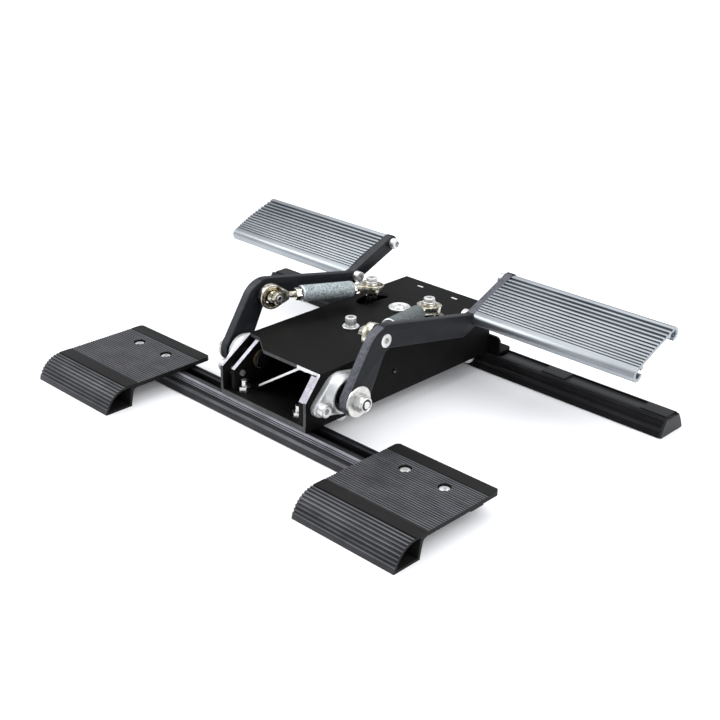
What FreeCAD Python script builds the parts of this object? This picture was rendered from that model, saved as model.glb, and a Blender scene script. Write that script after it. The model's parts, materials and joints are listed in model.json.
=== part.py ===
import FreeCAD, Part
import math
import os

# Linked rudder pedals on a low steel body that stands across two extruded rails.
# Millimetres. X runs to the user's right, Y away from the user, Z up.
# The origin is on the floor, in the middle of the footprint.

# Rails
RAIL_WIDTH = 34.0
RAIL_HEIGHT = 16.0
RAIL_SPACING = 230.0
FRONT_RAIL_LENGTH = 388.0
REAR_RAIL_LENGTH = 481.8
RAIL_LIP_HALF = 9.5
RAIL_TOE_CHAMFER = 0.8
RECESS_WIDTH = 16.0
RECESS_DEPTH = 1.2
SLOT_WIDTH = 8.4
SLOT_LIP = 2.2
CHAMBER_WIDTH = 16.0
CHAMBER_HEIGHT = 6.0
GROOVE_HEIGHTS = (5.6, 7.1, 11.2, 12.6)
GROOVE_WIDTH = 0.9
GROOVE_DEPTH = 0.8
PORT_RADIUS = 2.1
PORT_SIDE = 11.5
PORT_HEIGHT = 4.0
END_CAP_THICKNESS = 2.5
END_CAP_INSET = 0.4
PEG_LENGTH = 8.0
STRIP_CLEARANCE = 0.2
STRIP_FOOT = 1.2
STRIP_INNER_X = 66.0
BLOCK_LENGTH = 25.0
BLOCK_WIDTH = 14.0
BLOCK_STAND = 2.1
BLOCK_INNER_X = 124.8
BLOCK_END_GAP = 0.5

# Heel rests
HEEL_WIDTH = 102.0
HEEL_LENGTH = 115.0
HEEL_REACH = 88.5
HEEL_PLATE = 4.0
HEEL_WALL = 2.8
HEEL_NOSE_RADIUS = 23.0
HEEL_NOSE_BACK = 29.5
HEEL_NOSE_FOOT_BACK = 27.0
HEEL_FLOOR = 2.2
HEEL_CORNER = 5.0
HEEL_RIB_START = 34.0
HEEL_RIB_END = 103.0
HEEL_RIB_COUNT = 27
HEEL_RIB_DEPTH = 0.5
HEEL_NOSE_RIBS = 9
HEEL_NOSE_RIB_DEPTH = 0.9
HEEL_TONGUE_WIDTH = 14.0
HEEL_TONGUE_DEPTH = 1.0
HEEL_BOLT_HALF_SPACING = 19.6
HEEL_COUNTERBORE = 2.9
LEFT_HEEL_X = -162.3
RIGHT_HEEL_X = 170.2
HEEL_RIDE_GAP = 0.05
TEE_NUT_LENGTH = 8.0
TEE_NUT_HEIGHT = 4.2
TEE_SIDE_GAP = 0.5
TEE_TOP_GAP = 0.3

# Body
BODY_WIDTH = 105.0
BODY_HEIGHT = 62.6
BASE_THICKNESS = 5.0
SHEET = 3.0
BODY_AHEAD_OF_RAIL = 10.5
COVER_SHORT_OF_RAIL = 7.6
MOUTH_POST_HEIGHT = 21.0
MOUTH_RIGHT_SETBACK = 16.6
MOUTH_LEFT_SETBACK = 32.0
MOUTH_STEP_X = -16.0
MOUTH_STEP_WIDTH = 22.0
COVER_BEND_RADIUS = 1.6
TAB_LENGTH = 17.0
TAB_WIDTH = 12.0
ACCESS_HOLE_RADIUS = 2.75
ACCESS_HOLE_BELOW_COVER = 21.6
BRACKET_SHEET = 2.5
BRACKET_HALF_LENGTH = 64.5
BRACKET_HEIGHT = 17.0
BRACKET_DEPTH = 20.0
BRACKET_CORNER = 5.0

# Inner bearing brackets and the diagonal brace
INNER_PLATE_OUTSIDE = 43.0
INNER_PLATE = 4.0
INNER_PLATE_REAR = 38.0
INNER_FOOT_LENGTH = 20.0
INNER_PLATE_SETBACK = 4.0
BRACE_SHEET = 1.5
BRACE_FRONT_SETBACK = 18.0
BRACE_LENGTH = 55.0
BRACE_FOOT_X = -27.4
BRACE_HEAD_X = 24.9
BRACE_FOOT_WIDTH = 10.0
BRACE_KNEE_RISE = 4.0

# Pivots, bearings and arms
PIVOT_BEHIND_RAIL = 23.5
PIVOT_Z = 42.0
SHAFT_RADIUS = 5.0
RUNNING_FIT = 0.05
SNUG_FIT = 0.03
BEARING_TILT = 17.3
BEARING_BOLT_RADIUS = 22.5
BEARING_EAR_RADIUS = 7.5
BEARING_HUB_RADIUS = 18.0
BEARING_FLANGE = 5.5
BEARING_DEPTH = 12.0
BEARING_FACE_RADIUS = 15.5
INSERT_RADIUS = 13.0
INSERT_WIDTH = 8.5
INSERT_RACE_RADIUS = 8.0
INSERT_RACE_END = 14.0
INSERT_SEAL_STEP = 1.0
WALL_HOLE_CLEARANCE = 1.0
ARM_INSIDE = 69.0
ARM_THICKNESS = 8.0
ARM_END_RADIUS = 13.5
ARM_LEG_ANGLE = 57.5
ARM_EDGE_BREAK = 0.9
ELBOW_Y = 32.5
ELBOW_Z = 42.7
ARM_OUTER_CORNER = (22.3, 58.6, 15.0)
ARM_INNER_CORNER = (33.0, 35.8, 8.0)
ARM_TOP_KINK = (141.7, 34.1, 12.0)
ARM_BOTTOM_KINK = (132.0, 16.2, 14.0)
LOWER_PORT_Y = 147.0
LOWER_PORT_Z = 29.5
PORT_SPACING = 53.7
PAD_SLOPE = 22.8
SHAFT_COLLAR_RADIUS = 8.0
SHAFT_COLLAR = 2.1
SHAFT_HEAD_RADIUS = 7.5
SHAFT_HEAD = 2.0
BUSHING_WALL = 2.0
BUSHING_LENGTH = 9.0
BUSHING_FLANGE = 1.5
THRUST_GAP = 0.4
PIVOT_THREAD_RADIUS = 4.0
PIVOT_THREAD_LENGTH = 12.5
PIVOT_WASHER_RADIUS = 13.2
PIVOT_WASHER = 2.0
PIVOT_NUT_FLATS = 13.0
PIVOT_NUT = 8.0

# Pads
PAD_LENGTH = 163.0
PAD_PORT_OUTER = 6.0
PAD_PORT_INNER = 3.1
PAD_WEB = 2.9
PAD_RIB_COUNT = 14
PAD_RIB_GROOVE = 1.9
PAD_RIB_DEPTH = 1.3
PAD_RIB_MARGIN = 2.6
PAD_JAW_REACH = 8.0
PAD_JAW_WIDTH = 3.0
PAD_JAW_DROP = 2.2
PAD_ARM_MARGIN = 1.0
PAD_SCREW_DEPTH = 14.0

# Rocker and its linkage
ROCKER_AHEAD_OF_RAIL = 74.0
ROCKER_RADIUS = 35.0
ROCKER_THICKNESS = 6.0
ROCKER_UNDER_COVER = 3.6
ROCKER_END_RADIUS = 11.0
ROCKER_HUB_RADIUS = 11.0
ROCKER_HUB_ABOVE_BASE = 9.0
ROCKER_LOBE_HALF = 16.0
ROCKER_TIP_HALF = 6.5
ROCKER_TIP_MARGIN = 6.0
ROCKER_TAIL_HALF = 13.0
ROCKER_TAIL_CORNER = 8.0
ROCKER_SHAFT_RADIUS = 6.0
ROCKER_COLLAR_RADIUS = 9.0
ROCKER_BUSHING_LENGTH = 9.0
ROCKER_TRAVEL = 17.5
SLOT_HALF_WIDTH = 8.0
SPRING_PIN_REACH = 22.0
SPRING_PIN_RADIUS = 2.5
SPRING_PIN_LENGTH = 8.0
STUD_SPACER_RADIUS = 6.3
STUD_ABOVE_COVER = 7.4
STUD_BOSS_RADIUS = 4.2
BALL_RADIUS = 6.35
BALL_HALF_WIDTH = 4.4
BALL_AXIAL_GAP = 0.1
STUD_WASHER_RADIUS = 5.6
STUD_WASHER_RIM = 1.3
STUD_WASHER_RISE = 1.8
EYE_RADIUS = 11.2
EYE_BREAK = 0.7
EYE_WIDTH = 6.75
EYE_FIT = 0.08
OPEN_EYE_CLEARANCE = 0.92
OPEN_EYE_SHIFT = (0.72, -0.53, -0.45)
ELBOW_EYE_X = 60.0
SLEEVE_RADIUS = 4.7
ROD_SHANK_RADIUS = 3.0
ROD_SHANK_LENGTH = 34.0
ROD_NECK_END = 17.0
ROD_THROAT_RADIUS = 3.4
BARREL_RADIUS = 6.75
BARREL_FROM_ELBOW = 29.5
BARREL_FROM_STUD = 16.1
LOCKNUT_LENGTH = 5.5
JAM_NUT_LENGTH = 3.0
LOCKNUT_GAP = 0.2

# Centring spring, its anchor and the sensor
ANCHOR_TO_ROCKER = 62.5
ANCHOR_RADIUS = 6.0
ANCHOR_NECK_RADIUS = 4.5
ANCHOR_NECK_LENGTH = 5.0
SPRING_BELOW_COVER = 13.6
SPRING_COIL_RADIUS = 4.6
SPRING_WIRE_RADIUS = 0.7
SPRING_COIL_LENGTH = 22.0
SPRING_NECK_GAP = 0.3
SPRING_PIN_GAP = 1.6
MAGNET_RING_RADIUS = 15.0
MAGNET_RING_WIDTH = 6.0
MAGNET_REACH = 23.0
MAGNET_RADIUS = 4.0
MAGNET_THICKNESS = 3.0
MAGNET_ABOVE_HUB_END = 4.0
BOARD_LENGTH = 34.0
BOARD_WIDTH = 20.0
BOARD_THICKNESS = 1.6
BOARD_BELOW_MAGNET = 8.0
BOARD_OFFSET = 4.0
CHIP_SIDE = 6.0
CHIP_THICKNESS = 1.2
STANDOFF_INSET = 3.0
STANDOFF_RADIUS = 2.5

# Fasteners
M5_RADIUS = 2.5
M6_RADIUS = 3.0
M6_HEAD_RADIUS = 5.0
M6_HEAD = 6.0
M6_FLATS = 10.0
M6_NUT = 5.0
M6_SOCKET_FLATS = 5.0
HOLE_CLEARANCE = 0.2
LOW_HEAD_RADIUS = 4.25
LOW_SOCKET_FLATS = 3.0
DOME_RADIUS = 5.4
DOME_HEIGHT = 3.2
FRAME_BOLT_X = 33.5
FRONT_BOLT_TOP = 31.5
REAR_BOLT_TOP = 27.0
TEE_HEAD_LENGTH = 10.0
TEE_HEAD_HEIGHT = 5.0
BASE_SCREW_X = 46.2
BASE_SCREW_DEPTH = 9.0
FRONT_BASE_SCREW = 44.0
REAR_BASE_SCREW = 22.9
REAR_SCREW_X = 18.0
REAR_SCREW_Z = 27.0
POST_SCREW_NECK_RADIUS = 4.0
POST_SCREW_NECK = 1.9
TOP_WASHER_RADIUS = 7.5
TOP_WASHER = 1.5
CAP_WASHER_RADIUS = 10.0
CAP_WASHER = 2.0
CAP_RECESS_RADIUS = 6.0
CAP_RECESS = 1.2
TOP_SCREW_DEPTH = 16.0

# Places that follow from the sizes above
DEPTH = HEEL_REACH + RAIL_SPACING + RAIL_WIDTH / 2
HEEL_NOSE_Y = -DEPTH / 2
FRONT_RAIL_Y = HEEL_NOSE_Y + HEEL_REACH
REAR_RAIL_Y = FRONT_RAIL_Y + RAIL_SPACING
RECESS_FLOOR = RAIL_HEIGHT - RECESS_DEPTH
CHAMBER_TOP = RECESS_FLOOR - SLOT_LIP
CHAMBER_FLOOR = CHAMBER_TOP - CHAMBER_HEIGHT
BASE_TOP = RAIL_HEIGHT + BASE_THICKNESS
COVER_UNDER = BODY_HEIGHT - SHEET
WALL_OUTSIDE = BODY_WIDTH / 2
WALL_INSIDE = WALL_OUTSIDE - SHEET
BODY_FRONT_Y = FRONT_RAIL_Y - BODY_AHEAD_OF_RAIL
COVER_REAR_Y = REAR_RAIL_Y - COVER_SHORT_OF_RAIL
MOUTH_TOP_RIGHT_Y = BODY_FRONT_Y + MOUTH_RIGHT_SETBACK
MOUTH_TOP_LEFT_Y = BODY_FRONT_Y + MOUTH_LEFT_SETBACK
MOUTH_POST_TOP = BASE_TOP + MOUTH_POST_HEIGHT
PIVOT_Y = FRONT_RAIL_Y + PIVOT_BEHIND_RAIL
ARM_OUTSIDE = ARM_INSIDE + ARM_THICKNESS
ELBOW = (PIVOT_Y + ELBOW_Y, PIVOT_Z + ELBOW_Z)
LOWER_PORT = (PIVOT_Y + LOWER_PORT_Y, PIVOT_Z + LOWER_PORT_Z)
ROCKER_Y = REAR_RAIL_Y - ROCKER_AHEAD_OF_RAIL
ROCKER_TOP = COVER_UNDER - ROCKER_UNDER_COVER
ROCKER_BOTTOM = ROCKER_TOP - ROCKER_THICKNESS
ROCKER_HUB_LENGTH = ROCKER_BOTTOM - BASE_TOP - ROCKER_HUB_ABOVE_BASE
ANCHOR_Y = ROCKER_Y - ANCHOR_TO_ROCKER
STUD = FreeCAD.Vector(ROCKER_RADIUS, ROCKER_Y, BODY_HEIGHT + STUD_ABOVE_COVER)
SPRING_Z = COVER_UNDER - SPRING_BELOW_COVER
ACCESS_HOLE_Z = COVER_UNDER - ACCESS_HOLE_BELOW_COVER
MAGNET_Z = ROCKER_BOTTOM - ROCKER_HUB_LENGTH + MAGNET_ABOVE_HUB_END
BOARD_Z = MAGNET_Z - BOARD_BELOW_MAGNET
ELBOW_BALL = FreeCAD.Vector(ELBOW_EYE_X, ELBOW[0], ELBOW[1])
BRACKET_FRONT_Y = COVER_REAR_Y
FRONT_BASE_SCREW_Y = BODY_FRONT_Y + FRONT_BASE_SCREW
REAR_BASE_SCREW_Y = COVER_REAR_Y - REAR_BASE_SCREW

X_AXIS = FreeCAD.Vector(1, 0, 0)
Y_AXIS = FreeCAD.Vector(0, 1, 0)
Z_AXIS = FreeCAD.Vector(0, 0, 1)
ORIGIN = FreeCAD.Vector(0, 0, 0)
OVERCUT = 1.0


def vec(x, y, z):
    return FreeCAD.Vector(x, y, z)


def rounded_wire(corners, place):
    """Closed wire through corners (a, b, radius), each rounded by an arc of its radius."""
    flat = [FreeCAD.Vector(a, b, 0) for a, b, _ in corners]
    edges = []
    ends = []
    for index, (_, _, radius) in enumerate(corners):
        here = flat[index]
        back = flat[index - 1] - here
        ahead = flat[(index + 1) % len(flat)] - here
        if radius == 0:
            ends.append((here, None, here))
            continue
        back.normalize()
        ahead.normalize()
        half = back.getAngle(ahead) / 2
        reach = radius / math.tan(half)
        middle = back + ahead
        middle.normalize()
        centre = here + middle * (radius / math.sin(half))
        ends.append((here + back * reach, centre - middle * radius, here + ahead * reach))
    for index, (start, middle, end) in enumerate(ends):
        previous = ends[index - 1][2]
        if (start - previous).Length > 1e-6:
            edges.append(Part.makeLine(place(previous), place(start)))
        if middle is not None:
            edges.append(Part.Arc(place(start), place(middle), place(end)).toShape())
    return Part.Wire(edges)


def round_end(centre, radius, outward, before, after):
    """Two corners of a clockwise outline that round to one half circle about a centre."""
    middle = vec(centre[0], centre[1], 0)
    corners = []
    for point, side in ((before, 1), (after, -1)):
        here = vec(point[0], point[1], 0)
        way = middle - here
        swing = side * math.degrees(math.asin(radius / way.Length))
        along = FreeCAD.Rotation(Z_AXIS, swing) * way
        reach = (radius - (here - middle).dot(outward)) / along.dot(outward)
        corner = here + along * reach
        corners.append((corner.x, corner.y, radius))
    return corners


def along_x(corners, x0, x1):
    """Prism from x0 to x1 of an outline of (y, z, radius) corners."""
    wire = rounded_wire(corners, lambda p: vec(x0, p.x, p.y))
    return Part.Face(wire).extrude(vec(x1 - x0, 0, 0))


def along_y(corners, y0, y1):
    """Prism from y0 to y1 of an outline of (x, z, radius) corners."""
    wire = rounded_wire(corners, lambda p: vec(p.x, y0, p.y))
    return Part.Face(wire).extrude(vec(0, y1 - y0, 0))


def along_z(corners, z0, z1):
    """Prism from z0 to z1 of an outline of (x, y, radius) corners."""
    wire = rounded_wire(corners, lambda p: vec(p.x, p.y, z0))
    return Part.Face(wire).extrude(vec(0, 0, z1 - z0))


def box(x0, x1, y0, y1, z0, z1):
    return Part.makeBox(x1 - x0, y1 - y0, z1 - z0, vec(x0, y0, z0))


def rod(radius, start, end):
    way = end - start
    return Part.makeCylinder(radius, way.Length, start, way)


def rod_x(radius, x0, x1, y, z):
    return rod(radius, vec(x0, y, z), vec(x1, y, z))


def rod_y(radius, x, y0, y1, z):
    return rod(radius, vec(x, y0, z), vec(x, y1, z))


def rod_z(radius, x, y, z0, z1):
    return rod(radius, vec(x, y, z0), vec(x, y, z1))


def turned(profile, base, axis):
    """Solid turned from (distance along axis, radius) points that close on the axis or a bore."""
    points = [vec(radius, 0, along) for along, radius in profile]
    face = Part.Face(Part.makePolygon(points + [points[0]]))
    solid = face.revolve(ORIGIN, Z_AXIS, 360)
    solid.Placement = FreeCAD.Placement(base, FreeCAD.Rotation(Z_AXIS, axis))
    return solid


def hexagon(flats, height, base, axis):
    """Hexagonal prism over two flats, with a flat side facing the local X direction."""
    radius = flats / math.sqrt(3)
    points = []
    for step in range(7):
        angle = math.radians(30 + 60 * step)
        points.append(vec(radius * math.cos(angle), radius * math.sin(angle), 0))
    solid = Part.Face(Part.makePolygon(points)).extrude(vec(0, 0, height))
    solid.Placement = FreeCAD.Placement(base, FreeCAD.Rotation(Z_AXIS, axis))
    return solid


def nut(flats, height, bore, base, axis, flange=0.0):
    """Hexagon nut with a plain bore, and a round flange on its seat if asked."""
    solid = hexagon(flats, height, base, axis)
    if flange > 0:
        solid = solid.fuse(rod(flange, base, base + unit(axis) * 1.2))
    hole = rod(bore, base - unit(axis) * OVERCUT, base + unit(axis) * (height + OVERCUT))
    return solid.cut(hole)


def unit(axis):
    way = FreeCAD.Vector(axis)
    way.normalize()
    return way


def cap_screw(seat, axis, thread, grip, head_radius, head, socket):
    """Socket head screw: the head stands on the seat, the shank goes down along axis."""
    way = unit(axis)
    top = seat - way * head
    profile = [(0, 0), (0, head_radius), (head, head_radius), (head, thread), (head + grip, thread),
               (head + grip, 0)]
    solid = turned(profile, top, way)
    return solid.cut(hexagon(socket, head * 0.55, top, way))


def dome_screw(seat, axis, thread, grip, head_radius, head, socket):
    """Button head screw with a rounded head above the seat."""
    way = unit(axis)
    top = seat - way * head
    profile = [(0, 0), (0, head_radius * 0.6), (head * 0.6, head_radius), (head, head_radius),
               (head, thread), (head + grip, thread), (head + grip, 0)]
    solid = turned(profile, top, way)
    return solid.cut(hexagon(socket, head * 0.6, top, way))


def mirrored(shape):
    return shape.mirror(ORIGIN, X_AXIS)


def group(shapes):
    solids = []
    for shape in shapes:
        solids.extend(shape.Solids)
    return Part.makeCompound(solids)


def export(name, shape):
    shape.exportStep("parts/" + name + ".step")


def flank_arc():
    """Three points of the rail's bowed flank, as (half width, height) from its middle."""
    half = RAIL_WIDTH / 2
    low = vec(half, RAIL_TOE_CHAMFER, 0)
    middle = vec(half - 0.18 * (half - RAIL_LIP_HALF) * 2, RAIL_HEIGHT * 0.5, 0)
    high = vec(RAIL_LIP_HALF, RAIL_HEIGHT, 0)
    return low, middle, high


def rail_outline(middle_y, x, inset):
    """Closed outline of the rail: flat foot, bowed flanks and a flat top."""
    low, middle, high = flank_arc()

    def place(side, point):
        return vec(x, middle_y + side * (point.x - inset), max(point.y, inset) - inset * (point.y > 1))

    foot = vec(low.x - RAIL_TOE_CHAMFER, 0, 0)
    edges = [Part.makeLine(place(-1, foot), place(1, foot)),
             Part.makeLine(place(1, foot), place(1, low)),
             Part.Arc(place(1, low), place(1, middle), place(1, high)).toShape(),
             Part.makeLine(place(1, high), place(-1, high)),
             Part.Arc(place(-1, high), place(-1, middle), place(-1, low)).toShape(),
             Part.makeLine(place(-1, low), place(-1, foot))]
    return Part.Wire(edges)


def flank_point(height):
    """Half width of the rail at a height, on the circle of its flank."""
    circle = Part.Arc(*flank_arc()).toShape().Curve
    rise = height - circle.Center.y
    return circle.Center.x + math.sqrt(circle.Radius ** 2 - rise ** 2)


def rail(middle_y, length):
    """Extruded rail: grooved flanks, a T-slot in a shallow channel and two screw ports."""
    half = length / 2
    solid = Part.Face(rail_outline(middle_y, -half, 0)).extrude(vec(length, 0, 0))
    cuts = []
    recess = RECESS_WIDTH / 2
    slot = SLOT_WIDTH / 2
    chamber = CHAMBER_WIDTH / 2
    profile = [(-recess, RAIL_HEIGHT + OVERCUT), (-recess, RECESS_FLOOR), (-slot, RECESS_FLOOR),
               (-slot, CHAMBER_TOP), (-chamber, CHAMBER_TOP), (-chamber, CHAMBER_FLOOR)]
    profile += [(-y, z) for y, z in reversed(profile)]
    corners = [(middle_y + y, z, 0) for y, z in profile]
    cuts.append(along_x(corners, -half - OVERCUT, half + OVERCUT))
    for side in (-1, 1):
        for height in GROOVE_HEIGHTS:
            face = flank_point(height)
            notch = [(face + 0.6, height - GROOVE_WIDTH), (face - GROOVE_DEPTH, height),
                     (face + 0.6, height + GROOVE_WIDTH)]
            corners = [(middle_y + side * y, z, 0) for y, z in notch]
            cuts.append(along_x(corners, -half - OVERCUT, half + OVERCUT))
        cuts.append(rod_x(PORT_RADIUS, -half - OVERCUT, half + OVERCUT,
                          middle_y + side * PORT_SIDE, PORT_HEIGHT))
    return solid.cut(cuts)


def end_cap(middle_y, rail_length):
    """Closing plate on a rail's right end, with two pegs in the rail's screw ports."""
    start = rail_length / 2
    plate = Part.Face(rail_outline(middle_y, start, END_CAP_INSET))
    solid = plate.extrude(vec(END_CAP_THICKNESS, 0, 0))
    recess = RECESS_WIDTH / 2
    solid = solid.cut(box(start - OVERCUT, start + END_CAP_THICKNESS + OVERCUT, middle_y - recess,
                          middle_y + recess, RECESS_FLOOR - END_CAP_INSET, RAIL_HEIGHT))
    for side in (-1, 1):
        peg = rod_x(PORT_RADIUS - STRIP_CLEARANCE, start - PEG_LENGTH, start + OVERCUT,
                    middle_y + side * PORT_SIDE, PORT_HEIGHT)
        solid = solid.fuse(peg)
    return solid.removeSplitter()


def slot_strip():
    """Plastic strip that fills the rear rail's slot on the right of the body."""
    slot = SLOT_WIDTH / 2 - STRIP_CLEARANCE
    foot = slot + 2.0
    foot_top = CHAMBER_TOP - 0.1
    corners = [(-foot, foot_top - STRIP_FOOT), (foot, foot_top - STRIP_FOOT), (foot, foot_top),
               (slot, foot_top), (slot, RECESS_FLOOR), (-slot, RECESS_FLOOR), (-slot, foot_top),
               (-foot, foot_top)]
    corners = [(REAR_RAIL_Y + y, z, 0) for y, z in corners]
    return along_x(corners, STRIP_INNER_X, REAR_RAIL_LENGTH / 2)


def bump_block(x0):
    """Rubber block in the rear rail's channel, under a pad."""
    half = BLOCK_WIDTH / 2
    corners = [(REAR_RAIL_Y - half, RECESS_FLOOR, 0), (REAR_RAIL_Y + half, RECESS_FLOOR, 0),
               (REAR_RAIL_Y + half, RECESS_FLOOR + BLOCK_STAND, 0.6),
               (REAR_RAIL_Y - half, RECESS_FLOOR + BLOCK_STAND, 0.6)]
    return along_x(corners, x0, x0 + BLOCK_LENGTH)


def rails():
    export("front_rail", rail(FRONT_RAIL_Y, FRONT_RAIL_LENGTH))
    export("rear_rail", rail(REAR_RAIL_Y, REAR_RAIL_LENGTH))
    caps = []
    for middle_y, length in ((FRONT_RAIL_Y, FRONT_RAIL_LENGTH), (REAR_RAIL_Y, REAR_RAIL_LENGTH)):
        cap = end_cap(middle_y, length)
        caps += [cap, mirrored(cap)]
    export("rail_end_caps", group(caps))
    strip = slot_strip()
    export("rear_slot_strips", group([strip, mirrored(strip)]))
    inner = bump_block(BLOCK_INNER_X - BLOCK_LENGTH / 2)
    outer = bump_block(REAR_RAIL_LENGTH / 2 - BLOCK_END_GAP - BLOCK_LENGTH)
    export("bump_blocks", group([inner, mirrored(inner), outer, mirrored(outer)]))


def nose_centre(top):
    """Distance of the nose's axis behind its toe on the floor, for a plate's top height."""
    return math.sqrt(HEEL_NOSE_RADIUS ** 2 - (HEEL_NOSE_RADIUS - top) ** 2)


def heel_profile():
    """Section of a heel rest: ribbed plate, tongue and a hollow rounded nose, as (y, z, radius)."""
    underside = RAIL_HEIGHT + HEEL_RIDE_GAP
    top = underside + HEEL_PLATE
    pitch = (HEEL_RIB_END - HEEL_RIB_START) / HEEL_RIB_COUNT
    corners = [(nose_centre(top), top)]
    for index in range(HEEL_RIB_COUNT):
        y = HEEL_RIB_START + index * pitch
        corners += [(y, top), (y + pitch * 0.1, top - HEEL_RIB_DEPTH),
                    (y + pitch * 0.45, top - HEEL_RIB_DEPTH), (y + pitch * 0.55, top)]
    tongue = HEEL_TONGUE_WIDTH / 2
    corners += [(HEEL_LENGTH, top), (HEEL_LENGTH, underside),
                (HEEL_REACH + tongue, underside), (HEEL_REACH + tongue, underside - HEEL_TONGUE_DEPTH),
                (HEEL_REACH - tongue, underside - HEEL_TONGUE_DEPTH), (HEEL_REACH - tongue, underside),
                (HEEL_NOSE_BACK + 4.0, underside), (HEEL_NOSE_BACK, underside - 3.0),
                (HEEL_NOSE_FOOT_BACK, HEEL_FLOOR), (HEEL_NOSE_FOOT_BACK, 0)]
    return corners, top


def heel_rest(middle_x):
    """One heel rest: an extrusion along X with rounded rear corners and two bolt holes."""
    half = HEEL_WIDTH / 2
    x0 = middle_x - half
    corners, top = heel_profile()
    centre_y = HEEL_NOSE_Y + nose_centre(top)
    centre_z = top - HEEL_NOSE_RADIUS

    def nose(angle, radius):
        turn = math.radians(angle)
        return vec(x0, centre_y + radius * math.cos(turn), centre_z + radius * math.sin(turn))

    points = [vec(x0, HEEL_NOSE_Y + y, z) for y, z in corners]
    toe = vec(x0, HEEL_NOSE_Y, 0)
    toe_angle = 180 + math.degrees(math.asin(centre_z / HEEL_NOSE_RADIUS))
    edges = [Part.makeLine(a, b) for a, b in zip(points, points[1:] + [toe])]
    crown = nose((90 + toe_angle) / 2, HEEL_NOSE_RADIUS)
    edges.append(Part.Arc(toe, crown, points[0]).toShape())
    solid = Part.Face(Part.Wire(edges)).extrude(vec(HEEL_WIDTH, 0, 0))

    inner = HEEL_NOSE_RADIUS - HEEL_WALL
    low_angle = 180 - math.degrees(math.asin((HEEL_FLOOR - centre_z) / inner))
    high = nose(90, inner)
    low = nose(low_angle, inner)
    back = HEEL_NOSE_BACK - HEEL_WALL
    foot_back = HEEL_NOSE_FOOT_BACK - HEEL_WALL
    hollow = [Part.Arc(low, nose((90 + low_angle) / 2, inner), high).toShape(),
              Part.makeLine(high, vec(x0, HEEL_NOSE_Y + back, centre_z + inner)),
              Part.makeLine(vec(x0, HEEL_NOSE_Y + back, centre_z + inner),
                            vec(x0, HEEL_NOSE_Y + foot_back, HEEL_FLOOR)),
              Part.makeLine(vec(x0, HEEL_NOSE_Y + foot_back, HEEL_FLOOR), low)]
    cuts = [Part.Face(Part.Wire(hollow)).extrude(vec(HEEL_WIDTH, 0, 0))]

    step = (toe_angle - 12 - 90) / HEEL_NOSE_RIBS
    for index in range(HEEL_NOSE_RIBS):
        angle = 90 + step * (index + 0.5)
        notch = [nose(angle - step * 0.3, HEEL_NOSE_RADIUS + 0.3),
                 nose(angle - step * 0.12, HEEL_NOSE_RADIUS - HEEL_NOSE_RIB_DEPTH),
                 nose(angle + step * 0.12, HEEL_NOSE_RADIUS - HEEL_NOSE_RIB_DEPTH),
                 nose(angle + step * 0.3, HEEL_NOSE_RADIUS + 0.3)]
        face = Part.Face(Part.makePolygon(notch + [notch[0]]))
        cuts.append(face.extrude(vec(HEEL_WIDTH, 0, 0)))

    for side in (-1, 1):
        x = middle_x + side * HEEL_BOLT_HALF_SPACING
        cuts.append(rod_z(M5_RADIUS + HOLE_CLEARANCE, x, FRONT_RAIL_Y, 0, top + OVERCUT))
        cuts.append(rod_z(LOW_HEAD_RADIUS + 0.75, x, FRONT_RAIL_Y, top - HEEL_COUNTERBORE,
                          top + OVERCUT))
    solid = solid.cut(cuts)
    rear = HEEL_NOSE_Y + HEEL_LENGTH
    for side in (-1, 1):
        x = middle_x + side * half
        block = box(min(x, x - side * HEEL_CORNER), max(x, x - side * HEEL_CORNER),
                    rear - HEEL_CORNER, rear, 0, top + OVERCUT)
        round_ = rod_z(HEEL_CORNER, x - side * HEEL_CORNER, rear - HEEL_CORNER, 0, top + OVERCUT)
        solid = solid.cut(block.cut(round_))
    return solid


def heel_fasteners(middle_x):
    """Low head bolts of one heel rest and the T-nuts that they pull up in the rail's slot."""
    seat = RAIL_HEIGHT + HEEL_RIDE_GAP + HEEL_PLATE - HEEL_COUNTERBORE
    nut_top = CHAMBER_TOP - TEE_TOP_GAP
    grip = seat - (nut_top - TEE_NUT_HEIGHT)
    half = CHAMBER_WIDTH / 2 - TEE_SIDE_GAP
    bolts = []
    nuts = []
    for side in (-1, 1):
        x = middle_x + side * HEEL_BOLT_HALF_SPACING
        bolts.append(cap_screw(vec(x, FRONT_RAIL_Y, seat), vec(0, 0, -1), M5_RADIUS, grip,
                               LOW_HEAD_RADIUS, HEEL_COUNTERBORE, LOW_SOCKET_FLATS))
        block = box(x - TEE_NUT_LENGTH / 2, x + TEE_NUT_LENGTH / 2, FRONT_RAIL_Y - half,
                    FRONT_RAIL_Y + half, nut_top - TEE_NUT_HEIGHT, nut_top)
        hole = rod_z(M5_RADIUS + SNUG_FIT, x, FRONT_RAIL_Y, 0, RAIL_HEIGHT)
        nuts.append(block.cut(hole))
    return group(bolts), group(nuts)


def heel_rests():
    for name, middle_x in (("left", LEFT_HEEL_X), ("right", RIGHT_HEEL_X)):
        export(name + "_heel_rest", heel_rest(middle_x))
        bolts, nuts = heel_fasteners(middle_x)
        export(name + "_heel_bolts", bolts)
        export(name + "_heel_tee_nuts", nuts)


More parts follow.
